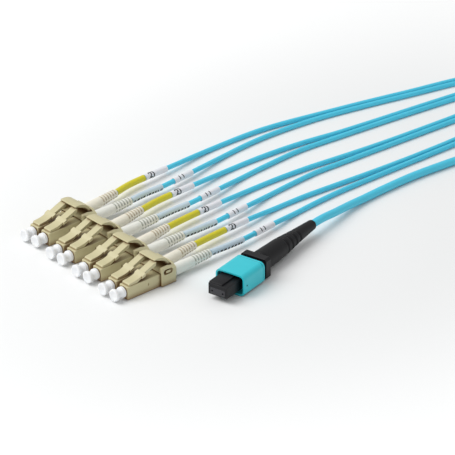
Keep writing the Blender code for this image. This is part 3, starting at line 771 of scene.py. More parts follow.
@dataclass(frozen=True)
class PlugBoot:
    """The white boot of one plug: a long cone with bend slots near its tip."""

    side: Side
    seat: float = 23.0 * MM
    axis_height: float = 2.9 * MM
    length: float = 18.6 * MM
    base: float = 4.6 * MM
    tip: float = 3.2 * MM
    bore: float = 1.0 * MM
    slot_start: float = 9.9 * MM
    slot_pitch: float = 1.4 * MM
    slot_depth: float = 0.55 * MM
    slots: int = 6
    slot_rows: int = 10
    collar_share: float = 0.06
    rib_share: float = 0.12
    edge: float = 0.25 * MM
    edge_middle: tuple[float, float] = (0.08 * MM, 0.1 * MM)
    plain_start: float = 0.8 * MM
    plain_step: float = 1.5 * MM
    bore_depth: float = 2.0 * MM
    sides: int = 64
    turns: dict[Side, float] = field(
        default_factory=lambda: {Side.FAR: math.radians(8.4), Side.NEAR: math.radians(2.2)})
    lifts: dict[Side, float] = field(
        default_factory=lambda: {Side.FAR: math.radians(0.8), Side.NEAR: math.radians(0.6)})

    def tip_place(self, extra: float = 0.0) -> Vector:
        """The middle of the tip, in the duplex's frame.

        Args:
            extra: A length to go on along the axis.

        Returns:
            The place.
        """
        turn, lift = self.turns[self.side], self.lifts[self.side]
        reach = self.length + extra
        return Vector((self.seat + reach * math.cos(lift) * math.cos(turn),
                       self.side.sign * PLUG_PITCH / 2 + reach * math.cos(lift) * math.sin(turn),
                       self.axis_height + reach * math.sin(lift)))

    def radius(self, x: float) -> float:
        """The cone's radius at a length from its base.

        Args:
            x: The length from its base.

        Returns:
            The radius, without slots.
        """
        collar = self.collar_share * self.length
        share = max(0.0, (x - collar) / (self.length - collar))
        return (self.base + (self.tip - self.base) * share) / 2

    def slot(self, x: float, turn: float) -> float:
        """How deep the surface lies in a slot there. The slots leave two ribs along the boot.

        Args:
            x: The length from the boot's base.
            turn: The angle in radians round the axis.

        Returns:
            The depth.
        """
        beyond = (x - self.slot_start) / self.slot_pitch
        if not 0 <= beyond < self.slots:
            return 0.0
        along = max(0.0, math.sin(math.tau * (beyond % 1.0))) ** 0.5
        rib = min(1.0, max(0.0, (abs(math.cos(turn)) - self.rib_share) / self.rib_share))
        return self.slot_depth * along * rib

    def mesh(self) -> bpy.types.Mesh:
        """The boot along +X from its base.

        Returns:
            The mesh.
        """
        turns = [math.tau * k / self.sides for k in range(self.sides)]
        near, sunk = self.edge_middle
        rows = [(0.0, -self.edge), (near, -sunk), (self.edge, 0.0)]
        x = self.plain_start
        while x < self.slot_start:
            rows.append((x, 0.0))
            x += self.plain_step
        fine = self.slot_pitch / self.slot_rows
        rows += [(self.slot_start + i * fine, 0.0) for i in range(self.slot_rows * self.slots + 1)]
        rows += [(self.length - self.edge, 0.0), (self.length - near, -sunk), (self.length, -self.edge)]
        rings = []
        for x, inset in rows:
            radii = [self.radius(x) + inset - self.slot(x, turn) for turn in turns]
            rings.append([Vector((x, r * math.sin(t), r * math.cos(t))) for r, t in zip(radii, turns)])
        for x in (self.length, self.length - self.bore_depth):
            rings.append([Vector((x, self.bore * math.sin(t), self.bore * math.cos(t))) for t in turns])
        return skin("plug_boot", rings)

    def build(self, bench: Bench, number: int, zero: Vector) -> bpy.types.Object:
        """Adds the boot to one plug of a duplex.

        Args:
            bench: Where the pieces go.
            number: The duplex's number, from 1 at the back.
            zero: The duplex's own zero.

        Returns:
            The boot.
        """
        seat = zero + Vector((self.seat, self.side.sign * PLUG_PITCH / 2, self.axis_height))
        turn = Matrix.Rotation(self.turns[self.side], 4, "Z")
        turn = turn @ Matrix.Rotation(-self.lifts[self.side], 4, "Y")
        finish = BOOT_FAR_ELASTOMER if self.side is Side.FAR else BOOT_NEAR_ELASTOMER
        tag = f"{number}{self.side.value}"
        return bench.add(f"boot_{tag}", self.mesh(), finish, replaces=[f"plug_boot_{tag}"],
                         matrix=Matrix.Translation(seat) @ turn, sharp=60)


@dataclass(frozen=True)
class Mark:
    """A plain number on a label, with its place along the label and its turn towards the near side."""

    text: str
    offset: float
    height: float
    turn: float
    thickness: float = 0.03 * MM
    boldness: float = 0.1 * MM
    # A digit's height as a share of the font's size
    digit_share: float = 0.7
    slices: int = 10


@dataclass
class Leg:
    """One leg: its cord, the tubes shrunk on it and their marks."""

    number: int
    side: Side
    zero: Vector
    port: Vector
    diameter: float = 1.9 * MM
    clearance: float = 0.15 * MM
    wall: float = 0.15 * MM
    yellow_length: float = 16.2 * MM
    film_length: float = 16.1 * MM
    bare_length: float = 6.6 * MM
    label_lengths: dict[Side, float] = field(
        default_factory=lambda: {Side.FAR: 11.5 * MM, Side.NEAR: 10.3 * MM})
    marks: dict[Side, Mark] = field(
        default_factory=lambda: {Side.FAR: Mark("2)", 1.5 * MM, 2.6 * MM, math.radians(46)),
                                 Side.NEAR: Mark("1 1", 2.2 * MM, 1.7 * MM, math.radians(36))})
    first_gap: float = 0.02 * MM
    cord_step: float = 1.2 * MM
    port_reach: float = 9.0 * MM
    port_drop: float = 0.6 * MM
    # The printed dashes, in millimetres along the film and in degrees from straight up
    dash_seed: int = 100
    dash_lengths: tuple[float, float] = (0.6, 1.5)
    dash_gaps: tuple[float, float] = (0.35, 0.75)
    dash_low: float = 86.0
    dash_highs: tuple[float, float] = (124.0, 144.0)
    dash_margins: tuple[float, float] = (0.5, 1.2)
    dash_thickness: float = 0.03 * MM

    def __post_init__(self) -> None:
        """Works out the leg's route."""
        points = [self.zero + PlugBoot(self.side).tip_place(GAP)]
        sway = Vector((0, ROUTE_SWAY[self.number], 0))
        points += [self.zero + (Vector(p) - sway) * MM for p in ROUTE_START[self.side]]
        points += [harness(x, y, FLOOR_Z) for x, y in ROUTES[self.tag]]
        points += [self.port - Vector((self.port_reach, 0, self.port_drop)), self.port]
        self.route = Route(points)

    @property
    def tag(self) -> str:
        """The duplex's number and the side's letter."""
        return f"{self.number}{self.side.value}"

    def build_tube(self, bench: Bench, name: str, start: float, length: float, finish: Finish,
                   replaces: Sequence[str] = ()) -> bpy.types.Object:
        """Adds a tube shrunk on the leg.

        Args:
            bench: Where the pieces go.
            name: The tube's name, without the leg's tag.
            start: Where it starts along the leg.
            length: How long it is.
            finish: What it is made of.
            replaces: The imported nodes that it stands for.

        Returns:
            The tube.
        """
        bore = self.diameter / 2 + self.clearance
        mesh = self.route.tube(name, start, start + length, bore, bore + self.wall)
        return bench.add(f"{name}_{self.tag}", mesh, finish, replaces=replaces)

    def build_dashes(self, bench: Bench, start: float, length: float) -> bpy.types.Object:
        """Adds plain dashes in a row along the film's lower side, as small as print.

        Args:
            bench: Where the pieces go.
            start: Where the film starts along the leg.
            length: How long the film is.

        Returns:
            The dashes, as one piece.
        """
        chance = random.Random(self.dash_seed + self.number)
        work = bmesh.new()
        inner = self.diameter / 2 + self.clearance + 0.5 * self.wall
        outer = inner + 0.5 * self.wall + self.dash_thickness
        before, after = self.dash_margins
        place = start + before * MM
        while place < start + length - after * MM:
            dash = chance.uniform(*self.dash_lengths) * MM
            low, high = math.radians(self.dash_low), math.radians(chance.uniform(*self.dash_highs))
            corners = []
            for radius in (inner, outer):
                for s in (place, place + dash):
                    for t in (low, (low + high) / 2, high):
                        corners.append(work.verts.new(self.route.around(s, radius, t)))
            bmesh.ops.convex_hull(work, input=corners)
            place += dash + chance.uniform(*self.dash_gaps) * MM
        return bench.add(f"film_print_{self.tag}", finished_mesh("film_print", work), MARKING_INK)

    def build_mark(self, bench: Bench, label_start: float) -> bpy.types.Object:
        """Adds a plain number on a label, wrapped round the leg.

        Args:
            bench: Where the piece goes.
            label_start: Where the label starts along the leg.

        Returns:
            The mark.
        """
        mark = self.marks[self.side]
        letters = bpy.data.curves.new("mark", "FONT")
        letters.body = mark.text
        letters.size = mark.height / mark.digit_share
        letters.extrude = mark.thickness
        letters.offset = mark.boldness
        holder = bpy.data.objects.new("mark", letters)
        bpy.context.scene.collection.objects.link(holder)
        bpy.context.view_layer.update()
        graph = bpy.context.evaluated_depsgraph_get()
        flat = bpy.data.meshes.new_from_object(holder.evaluated_get(graph))
        bpy.data.objects.remove(holder, do_unlink=True)
        work = bmesh.new()
        work.from_mesh(flat)
        for i in range(1, mark.slices):
            level = Vector((0, mark.height * i / mark.slices, 0))
            parts = [*work.verts, *work.edges, *work.faces]
            bmesh.ops.bisect_plane(work, geom=parts, plane_co=level, plane_no=Vector((0, 1, 0)))
        skin_radius = self.diameter / 2 + self.clearance + self.wall
        start = label_start + mark.offset
        for vert in work.verts:
            x, y, z = vert.co
            angle = mark.turn - (y - mark.height / 2) / skin_radius
            vert.co = self.route.around(start + x, skin_radius + z, angle)
        return bench.add(f"label_mark_{self.tag}", finished_mesh("label_mark", work), MARKING_INK)

    def build(self, bench: Bench, boot: bpy.types.Object) -> None:
        """Args:
            bench: Where the pieces go.
            boot: The plug's boot, which the leg comes out of. It is not used.
        """
        curve = self.route.curve(f"leg_cord_{self.tag}", self.diameter, self.cord_step)
        cord = bench.add(f"leg_cord_{self.tag}", curve, AQUA_JACKET, replaces=[f"leg_{self.tag}"])
        start = self.first_gap
        if self.side is Side.FAR:
            on_it = [self.build_tube(bench, "yellow_tube", start, self.yellow_length, YELLOW_POLYOLEFIN,
                                     [f"yellow_sleeve_{self.number}"])]
            label_start = self.yellow_length + GAP
        else:
            on_it = [self.build_tube(bench, "clear_film", start, self.film_length, FILM_POLYOLEFIN),
                     self.build_dashes(bench, start, self.film_length)]
            label_start = self.film_length + self.bare_length
        on_it += [self.build_tube(bench, "label_tube", label_start, self.label_lengths[self.side],
                                  LABEL_POLYOLEFIN, [f"label_sleeve_{self.tag}"]),
                  self.build_mark(bench, label_start)]


@dataclass(frozen=True)
class Plug:
    """One plug of a duplex: its housing with the latch, its ferrule and its dust cap."""

    length: float = 22.3 * MM
    width: float = 4.5 * MM
    height: float = 5.2 * MM
    axis_height: float = 2.9 * MM
    edge: float = 0.3 * MM
    latch_front: float = 1.0 * MM
    latch_root_end: float = 5.0 * MM
    latch_end: float = 14.3 * MM
    latch_front_rise: float = 0.9 * MM
    latch_root_rise: float = 1.3 * MM
    latch_end_rise: float = 5.1 * MM
    latch_thickness: float = 1.0 * MM
    latch_end_thickness: float = 1.6 * MM
    latch_root_width: float = 3.6 * MM
    latch_width: float = 2.8 * MM
    lug_start: float = 6.9 * MM
    lug_length: float = 1.7 * MM
    lug_width: float = 4.5 * MM
    lug_edge: float = 0.3 * MM
    lug_rise: float = 0.06 * MM
    # How far the latch's root reaches into the housing, and half the length of the bend behind it
    latch_sink: float = 0.4 * MM
    latch_bend: float = 1.2 * MM
    latch_undercut: float = 0.15 * MM
    pin_diameter: float = 1.25 * MM
    pin_length: float = 4.0 * MM
    pin_chamfer: float = 0.25 * MM
    nose_bore: float = 3.2 * MM
    nose_bore_depth: float = 1.6 * MM
    cap_length: float = 4.6 * MM
    cap_disc: float = 4.6 * MM
    cap_disc_length: float = 1.0 * MM
    cap_dish: float = 0.12 * MM
    cap_rim: float = 0.7 * MM
    cap_edge: float = 0.3 * MM
    cap_flare: float = 0.5 * MM
    cap_waist: float = 3.4 * MM
    cap_collar: float = 4.2 * MM
    cap_collar_length: float = 1.2 * MM
    dimple_place: tuple[float, float] = (9.8 * MM, 3.1 * MM)
    dimple_size: tuple[float, float, float] = (0.5 * MM, 0.4 * MM, 1.0 * MM)
    dimple_edge: float = 0.12 * MM
    soft_edge: float = 0.09 * MM

    def latch_top(self, x: float) -> float:
        """The height of the latch's top: nearly level over its root, then rising steeply.

        Args:
            x: The length from the housing's front.

        Returns:
            The height over the floor.
        """
        if x > self.latch_root_end:
            climb = self.latch_end_rise - self.latch_root_rise
            run = self.latch_end - self.latch_root_end
        else:
            climb = self.latch_root_rise - self.latch_front_rise
            run = self.latch_root_end - self.latch_front
        return self.height + self.latch_root_rise + climb * (x - self.latch_root_end) / run

    def arm_outline(self, end: float, thickness: float) -> list[tuple[float, float]]:
        """The latch's side view, from its root to a place along it.

        Args:
            end: Where it ends, from the housing's front.
            thickness: How thick it is at that end.

        Returns:
            The outline's x and z.
        """
        front, root_end, bend = self.latch_front, self.latch_root_end, self.latch_bend
        nose = 0.3 * self.latch_thickness
        sink = self.height - self.latch_sink

        def top(x: float) -> tuple[float, float]:
            """The place on the latch's top at a length from the housing's front."""
            return x, self.latch_top(x)

        points = [(front, sink), (front, self.latch_top(front) - nose), top(front + nose)]
        points += bend_between(top(root_end - bend), top(root_end), top(root_end + bend), 6)
        points += bend_between(top(end - nose), top(end), (end, self.latch_top(end) - nose), 3)
        points.append((end - self.latch_undercut, self.latch_top(end) - thickness))
        under = self.latch_top(root_end + bend) - self.latch_thickness
        points += bend_between((root_end + bend, under), (root_end, self.height + 0.2 * MM),
                               (root_end - 0.2 * MM, sink), 6)
        return points

    def housing_mesh(self) -> bpy.types.Mesh:
        """The housing with its latch arm and lugs.

        Returns:
            The mesh.
        """
        half = self.width / 2
        body = block("plug_housing", (0, -half, 0), (self.length, half, self.height), self.edge)
        thick = self.latch_thickness
        start, end, edge = self.lug_start, self.lug_start + self.lug_length, self.lug_edge
        root = prism("root", self.arm_outline(end - 0.5 * MM, thick), self.latch_root_width)
        arm = prism("arm", self.arm_outline(self.latch_end, self.latch_end_thickness), self.latch_width)
        lug = [(start, self.latch_top(start) - thick), (start, self.latch_top(start) - edge),
               (start + edge, self.latch_top(start + edge) + self.lug_rise),
               (end, self.latch_top(end) + self.lug_rise), (end, self.latch_top(end) - 1.1 * thick)]
        deep, radius = self.nose_bore_depth, self.nose_bore / 2
        bore = turned("bore", [(-MM, 0.0), (-MM, radius), (deep, radius), (deep, 0.0)], 32)
        body = combine(body, "UNION", root, arm, prism("lug", lug, self.lug_width))
        x, z = self.dimple_place
        reach = Vector(self.dimple_size) / 2
        dimples = [block("dimple", Vector((x, y, z)) - reach, Vector((x, y, z)) + reach, self.dimple_edge)
                   for y in (-half, half)]
        return combine(body, "DIFFERENCE", shifted(bore, z=self.axis_height), *dimples)

    def ferrule_mesh(self) -> bpy.types.Mesh:
        """The ceramic ferrule, with its polished chamfer."""
        radius, chamfer = self.pin_diameter / 2, self.pin_chamfer
        return turned("ferrule", [(-self.pin_length, 0), (-self.pin_length, radius - chamfer),
                                  (-self.pin_length + chamfer, radius), (self.nose_bore_depth, radius),
                                  (self.nose_bore_depth, 0)], 32)

    def cap_mesh(self) -> bpy.types.Mesh:
        """The dust cap: a front disc, a waist and a rear collar, bored for the ferrule.

        Returns:
            The mesh.
        """
        front, rear = -GAP - self.cap_length, -GAP
        disc, waist, collar = self.cap_disc / 2, self.cap_waist / 2, self.cap_collar / 2
        edge, small = self.cap_edge, self.cap_edge / 2
        back, flare = front + self.cap_disc_length, self.cap_flare
        dish, rim = front + self.cap_dish, disc - self.cap_rim
        step = rear - self.cap_collar_length
        bore = self.pin_diameter / 2 + GAP
        profile = [(dish, 0.0), (dish, rim - 0.2 * MM), (front, rim)]
        profile += bend_between((front, disc - edge), (front, disc), (front + edge, disc), 4)
        profile += bend_between((back, disc), (back + flare / 2, disc - 0.05 * MM),
                                (back + flare, waist + 0.1 * MM), 4)
        profile += bend_between((back + 0.7 * MM, waist), (back + 2 * flare, waist),
                                (step - 0.5 * MM, waist), 2)
        profile += [(step - 0.1 * MM, collar - 0.1 * MM), (step, collar), (rear - small, collar),
                    (rear, collar - small), (rear, bore), (-self.pin_length - GAP, bore),
                    (-self.pin_length - GAP, 0.0)]
        return turned("dust_cap", profile)

    def build(self, bench: Bench, number: int, side: Side, zero: Vector) -> None:
        """Adds the plug to one side of a duplex.

        Args:
            bench: Where the pieces go.
            number: The duplex's number, from 1 at the back.
            side: The plug's side.
            zero: The duplex's own zero.
        """
        tag = f"{number}{side.value}"
        place = Matrix.Translation(zero + Vector((0, side.sign * PLUG_PITCH / 2, 0)))
        axis = place @ Matrix.Translation((0, 0, self.axis_height))
        bench.add(f"housing_{tag}", self.housing_mesh(), BEIGE_PEI, replaces=[f"plug_housing_{tag}"],
                  matrix=place, bevel=self.soft_edge)
        bench.add(f"ferrule_{tag}", self.ferrule_mesh(), ZIRCONIA, matrix=axis)
        bench.add(f"cap_{tag}_spool", self.cap_mesh(), CAP_POLYETHYLENE, body=f"cap_{tag}",
                  replaces=[f"dust_cap_{tag}"], matrix=axis)


@dataclass(frozen=True)
class DuplexClip:
    """The clip that holds two plugs side by side, with the trigger hood over their latches."""

    plug: Plug = Plug()
    front: float = 15.3 * MM
    base: float = 0.1 * MM
    height: float = 7.5 * MM
    wall: float = 0.7 * MM
    edge: float = 0.3 * MM
    hood_front: float = 13.7 * MM
    hood_width: float = 8.5 * MM
    hood_thickness: float = 0.45 * MM
    hood_clearance: float = 0.3 * MM
    shoulder_drop: float = 1.7 * MM
    shoulder_width: float = 2.5 * MM
    window_length: float = 4.2 * MM
    window_height: float = 2.1 * MM
    window_place: tuple[float, float] = (18.4 * MM, 5.6 * MM)
    window_edge: float = 0.8 * MM
    cavity_side: float = 0.9 * MM
    cavity_floor: float = 0.35 * MM
    cavity_wall: float = 1.2 * MM
    soft_edge: float = 0.1 * MM

    def mesh(self) -> bpy.types.Mesh:
        """The clip: shouldered sides, two bores, a cavity under the hood and a window in each side.

        Returns:
            The mesh.
        """
        plug = self.plug
        half = PLUG_PITCH / 2 + plug.width / 2 + GAP + self.wall
        rear = plug.length
        top = self.base + self.height
        body = block("duplex_clip", (self.front, -half, self.base), (rear, half, top), self.edge)
        for sign in (-1, 1):
            start = Vector((self.front, sign * half, top))
            down = Vector((rear, sign * half, top - self.shoulder_drop))
            inside = Vector((rear, sign * (half - self.shoulder_width), top))
            normal = (down - start).cross(inside - start) * -sign
            body = sliced(body, start, normal if normal.z > 0 else -normal)
        cuts = []
        reach = plug.width / 2 + GAP
        for sign in (-1, 1):
            middle = sign * PLUG_PITCH / 2
            cuts.append(block("bore", (self.front - MM, middle - reach, self.base - MM),
                              (rear + MM, middle + reach, plug.height + GAP)))
            cuts.append(self.ring_slot(sign * half))
        inner = self.hood_width / 2 + self.cavity_side
        cuts.append(block("cavity", (self.front - MM, -inner, plug.height + GAP + self.cavity_floor),
                          (rear - self.cavity_wall, inner, top + MM)))
        body = combine(body, "DIFFERENCE", *cuts)
        return combine(body, "UNION", prism("hood", self.hood_outline(), self.hood_width))

    def ring_slot(self, outer: float) -> bpy.types.Mesh:
        """The rounded slot in a side, with an island in its middle.

        Args:
            outer: The side's outer face, across the clip.

        Returns:
            The cutter's mesh.
        """
        x, z = self.window_place
        reach, rise = self.window_length / 2, self.window_height / 2
        depth = 1.2 * self.wall
        slot = block("slot", (x - reach, outer - depth, z - rise), (x + reach, outer + depth, z + rise),
                     self.window_edge)
        island = block("island", (x - 0.5 * reach, outer - 2 * depth, z - 0.45 * rise),
                       (x + 0.5 * reach, outer + 2 * depth, z + 0.45 * rise), 0.3 * MM)
        return combine(slot, "DIFFERENCE", island)

    def hood_outline(self) -> list[tuple[float, float]]:
        """The hood's side view: a thin lip over the latches, then an arch down into the clip's top.

        Returns:
            The outline's x and z.
        """
        under = self.plug.height + self.plug.latch_end_rise + self.hood_clearance
        over = under + self.hood_thickness
        front, lip = self.hood_front, 0.3 * self.hood_thickness

        def at(back: float, down: float) -> tuple[float, float]:
            """A place so many millimetres back from the lip and down from the hood's top."""
            return front + back * MM, over - down * MM

        points = [(front, under), (front, over - lip), (front + lip, over), at(1.6, 0.0)]
        points += bend_between(at(1.6, 0.0), at(5.1, 0.2), at(7.0, 3.1), 12)[1:]
        points += [at(7.5, 4.0), at(6.3, 4.0)]
        points += bend_between(at(5.9, 3.3), at(5.0, 1.9), at(3.3, 1.4), 8)
        points += bend_between(at(3.3, 1.4), at(1.9, 1.0), (front + 0.9 * MM, under), 6)[1:]
        return points

    def build(self, bench: Bench, number: int, zero: Vector) -> None:
        """Adds the clip to a duplex."""
        bench.add(f"clip_{number}", self.mesh(), BEIGE_PEI, replaces=[f"duplex_clip_{number}"],
                  matrix=Matrix.Translation(zero), bevel=self.soft_edge)


@dataclass
class Duplex:
    """One duplex: two plugs in a clip, their boots and their legs."""

    number: int
    fan_out: "FanOutBlock"

    @property
    def zero(self) -> Vector:
        """The middle of its two front faces, on the floor."""
        return HARNESS_ZERO + (DUPLEX_COUNT - self.number) * DUPLEX_STEP

    def build(self, bench: Bench) -> None:
        """Adds all its pieces.

        Args:
            bench: Where the pieces go.
        """
        DuplexClip().build(bench, self.number, self.zero)
        for side in Side:
            Plug().build(bench, self.number, side, self.zero)
            boot = PlugBoot(side).build(bench, self.number, self.zero)
            index = (self.number - 1) * 2 + (side is Side.NEAR)
            Leg(self.number, side, self.zero, self.fan_out.port(index)).build(bench, boot)


@dataclass(frozen=True)
class FanOutBlock:
    """The block where the trunk's fibres go into the eight legs."""

    place: Vector = HARNESS_ZERO + Vector((256.0, 20.0, 0.0)) * MM
    length: float = 20.0 * MM
    height: float = 5.4 * MM
    port_pitch: float = 2.6 * MM
    nose_length: float = 8.0 * MM
    nose_base: float = 5.0 * MM
    nose_tip: float = 4.0 * MM
    edge: float = 0.8 * MM
    seam: float = 0.12 * MM
    ribs: int = 4
    rib_pitch: float = 1.5 * MM
    rib_depth: float = 0.35 * MM

    def port(self, index: int) -> Vector:
        """Where a leg meets the block, with the usual gap."""
        across = (DUPLEX_COUNT * 2 - 1) / 2 - index
        return self.place + Vector((-GAP, across * self.port_pitch, self.height / 2))

    def nose_end(self) -> Vector:
        """Where the trunk meets the nose, with the usual gap."""
        return self.place + Vector((self.length + self.nose_length + GAP, 0, self.height / 2))

    def build(self, bench: Bench) -> None:
        """Adds the block, with a parting line and its ribbed nose.

        Args:
            bench: Where the pieces go.
        """
        half = DUPLEX_COUNT * self.port_pitch + self.port_pitch / 4
        body = block("fan_out", (0, -half, 0), (self.length, half, self.height), self.edge, 4)
        groove = self.seam
        line = block("parting", (-MM, -half - MM, self.height / 2 - groove),
                     (self.length + MM, half + MM, self.height / 2 + groove))
        core = block("core", (groove, -half + groove, -MM),
                     (self.length - groove, half - groove, self.height + MM), self.edge, 4, True)
        seam = combine(line, "DIFFERENCE", core)
        body = combine(body, "DIFFERENCE", seam)
        profile = [(-MM, 0.0), (-MM, self.nose_base / 2), (0.0, self.nose_base / 2)]
        for i in range(1, self.ribs + 1):
            x = self.rib_pitch * i
            radius = (self.nose_base + (self.nose_tip - self.nose_base) * x / self.nose_length) / 2
            deep = radius - self.rib_depth
            profile += [(x, radius), (x + 0.2 * MM, deep), (x + 0.6 * MM, deep),
                        (x + 0.8 * MM, radius - 0.04 * MM)]
        tip = self.nose_tip / 2
        profile += [(self.nose_length - 0.2 * MM, tip), (self.nose_length, tip - 0.2 * MM),
                    (self.nose_length, 0.0)]
        nose = shifted(turned("nose", profile), self.length, 0, self.height / 2)
        bench.add("fan_out", combine(body, "UNION", nose), BLACK_POLYMER, replaces=["fan_out_block"],
                  matrix=Matrix.Translation(self.place), bevel=0.08 * MM)


@dataclass(frozen=True)
class TrunkPlug:
    """The multi-fibre plug. Its own X axis runs from the nose to the boot."""

    place: Vector = HARNESS_ZERO + Vector((23.4, -27.2, 4.2)) * MM
    turn: float = math.radians(13.5)
    nose_length: float = 18.3 * MM
    nose_width: float = 8.1 * MM
    nose_height: float = 4.43 * MM
    nose_lift: float = 0.15 * MM
    nose_edge: float = 0.2 * MM
    nose_reach: float = 7.7 * MM
    key_shelf: float = 2.4 * MM
    key_rise: float = 0.65 * MM
    key_rear: float = 1.0 * MM
    ferrule_width: float = 6.4 * MM
    ferrule_height: float = 2.5 * MM
    ferrule_length: float = 5.0 * MM
    ferrule_clearance: float = 0.1 * MM
    ferrule_drop: float = 0.4 * MM
    ferrule_proud: float = 0.1 * MM
    guide_diameter: float = 0.7 * MM
    guide_pitch: float = 4.6 * MM
    sleeve_length: float = 13.05 * MM
    sleeve_width: float = 12.4 * MM
    sleeve_height: float = 8.4 * MM
    sleeve_corner: float = 2.0 * MM
    sleeve_rim: float = 0.7 * MM
    mouth_depth: float = 3.0 * MM
    travel: float = 1.5 * MM
    stem_width: float = 9.4 * MM
    stem_height: float = 5.4 * MM
    flange_length: float = 3.0 * MM
    flange_width: float = 11.2 * MM
    flange_height: float = 8.3 * MM
    flange_bevel: float = 0.8 * MM
    boot_length: float = 35.0 * MM
    boot_taper: tuple[tuple[float, float], ...] = ((0.0, 8.3), (0.39, 7.4), (0.89, 4.0), (1.0, 3.9))
    boot_lift: float = math.radians(0.4)
    grooves: int = 4
    groove_start: float = 13.8 * MM
    groove_pitch: float = 3.0 * MM
    groove_depth: float = 0.55 * MM
    rim_line: float = 0.9 * MM
    rim_line_width: float = 0.25 * MM
    rim_line_depth: float = 0.1 * MM
    dot_place: tuple[float, float] = (1.9 * MM, -0.1 * MM)
    dot_diameter: float = 0.64 * MM
    corner_faces: int = 8
    nose_soft_edge: float = 0.07 * MM
    sleeve_soft_edge: float = 0.14 * MM
    flange_soft_edge: float = 0.2 * MM
    ferrule_edge: float = 0.12 * MM

    @property
    def matrix(self) -> Matrix:
        """The plug's own frame."""
        return Matrix.Translation(self.place) @ Matrix.Rotation(self.turn, 4, "Z")

    @property
    def flange_rear(self) -> float:
        """Where the flange ends along the plug."""
        return self.nose_reach + self.sleeve_length + self.travel + GAP + self.flange_length

    def boot_end(self) -> Vector:
        """Where the trunk leaves the boot, with the usual gap."""
        reach = self.boot_length + GAP
        return self.matrix @ Vector((self.flange_rear + GAP + reach * math.cos(self.boot_lift), 0,
                                     reach * math.sin(self.boot_lift)))

    def build_nose(self, bench: Bench) -> None:
        """Adds the inner housing with its key, and the ferrule in its pocket.

        Args:
            bench: Where the pieces go.
        """
        half_w, edge = self.nose_width / 2, self.nose_edge
        high = self.nose_lift + self.nose_height / 2
        nose = bar("nose", 0, self.nose_length, self.nose_width, self.nose_height, self.nose_lift, edge)
        key = block("key", (edge, self.key_shelf - half_w, high - 3 * edge),
                    (self.nose_length - self.key_rear, half_w - edge, high + self.key_rise), edge)
        nose = combine(nose, "UNION", key)
        loose = self.ferrule_clearance
        pocket = bar("pocket", -MM, self.ferrule_length + loose, self.ferrule_width + 2 * loose,
                     self.ferrule_height + 2 * loose, -self.ferrule_drop)
        bench.add("multi_fibre_nose", combine(nose, "DIFFERENCE", pocket), BLACK_POLYMER,
                  replaces=["trunk_plug_housing"], matrix=self.matrix, bevel=self.nose_soft_edge)
        ferrule = bar("ferrule", -self.ferrule_proud, self.ferrule_length, self.ferrule_width,
                      self.ferrule_height, -self.ferrule_drop, self.ferrule_edge)
        hole = self.guide_diameter / 2
        holes = [shifted(turned("hole", [(-MM, 0), (-MM, hole), (3 * MM, hole), (3 * MM, 0)], 24),
                         y=sign * self.guide_pitch / 2, z=-self.ferrule_drop) for sign in (-1, 1)]
        bench.add("multi_fibre_ferrule", combine(ferrule, "DIFFERENCE", *holes), GREY_FERRULE,
                  replaces=["trunk_plug_ferrule"], matrix=self.matrix)

    def build_sleeve(self, bench: Bench) -> None:
        """Adds the aqua coupling sleeve, with its rear rim and the window for the nose.

        Args:
            bench: Where the pieces go.
        """
        width, height, corner = self.sleeve_width, self.sleeve_height, self.sleeve_corner
        front, rear = self.nose_reach, self.nose_reach + self.sleeve_length
        sleeve = bar("sleeve", front, rear, width, height, 0, corner, self.corner_faces, True)
        mouth = bar("mouth", front - MM, front + self.mouth_depth, width - 2 * self.sleeve_rim,
                    height - 2 * self.sleeve_rim, 0, corner - self.sleeve_rim, self.corner_faces, True)
        window = bar("window", front + MM, rear + MM, self.nose_width + 2 * GAP,
                     self.nose_height + self.key_rise + 2 * GAP, self.nose_lift + self.key_rise / 2)
        well = bar("well", self.nose_length - self.travel, rear + MM, self.stem_width + 2 * GAP,
                   self.stem_height + 2 * GAP)
        rim, sunk = rear - self.rim_line, 2 * self.rim_line_depth
        groove = combine(bar("groove", rim - self.rim_line_width, rim, width + 2 * MM, height + 2 * MM),
                         "DIFFERENCE",
                         bar("core", rim - MM, rim + MM, width - sunk, height - sunk, 0, corner,
                             self.corner_faces, True))
        spot, (x, z) = self.dot_diameter / 2, self.dot_place
        dot = turned("dot", [(-MM, 0.0), (-MM, spot), (0.5 * MM, spot), (0.5 * MM, 0.0)], 20)
        dot.transform(Matrix.Translation((front + x, -width / 2, z))
                      @ Matrix.Rotation(math.radians(90), 4, "Z"))
        sleeve = combine(sleeve, "DIFFERENCE", mouth, window, well, groove, dot)
        bench.add("multi_fibre_sleeve", sleeve, AQUA_ABS, body="coupling_sleeve",
                  replaces=["trunk_plug_sleeve"], matrix=self.matrix, bevel=self.sleeve_soft_edge)

    def build_rear(self, bench: Bench) -> bpy.types.Object:
        """Adds the rear body with its flange, and the boot.

        Args:
            bench: Where the pieces go.

        Returns:
            The boot.
        """
        front = self.flange_rear - self.flange_length
        flange = bar("flange", front, self.flange_rear, self.flange_width, self.flange_height, 0,
                     self.flange_bevel, 1, True)
        stem = bar("stem", self.nose_length + GAP, front + MM, self.stem_width, self.stem_height)
        bench.add("multi_fibre_rear_body", combine(flange, "UNION", stem), BLACK_POLYMER,
                  replaces=["trunk_plug_rear_body"], matrix=self.matrix, bevel=self.flange_soft_edge)
        place = self.matrix @ Matrix.Translation((self.flange_rear + GAP, 0, 0))
        place = place @ Matrix.Rotation(-self.boot_lift, 4, "Y")
        return bench.add("multi_fibre_boot", self.boot_mesh(), BLACK_ELASTOMER,
                         replaces=["trunk_plug_boot"], matrix=place, sharp=60)

    def boot_mesh(self) -> bpy.types.Mesh:
        """The black boot along +X from its base, with ring grooves towards its tip.

        Returns:
            The mesh.
        """
        length = self.boot_length

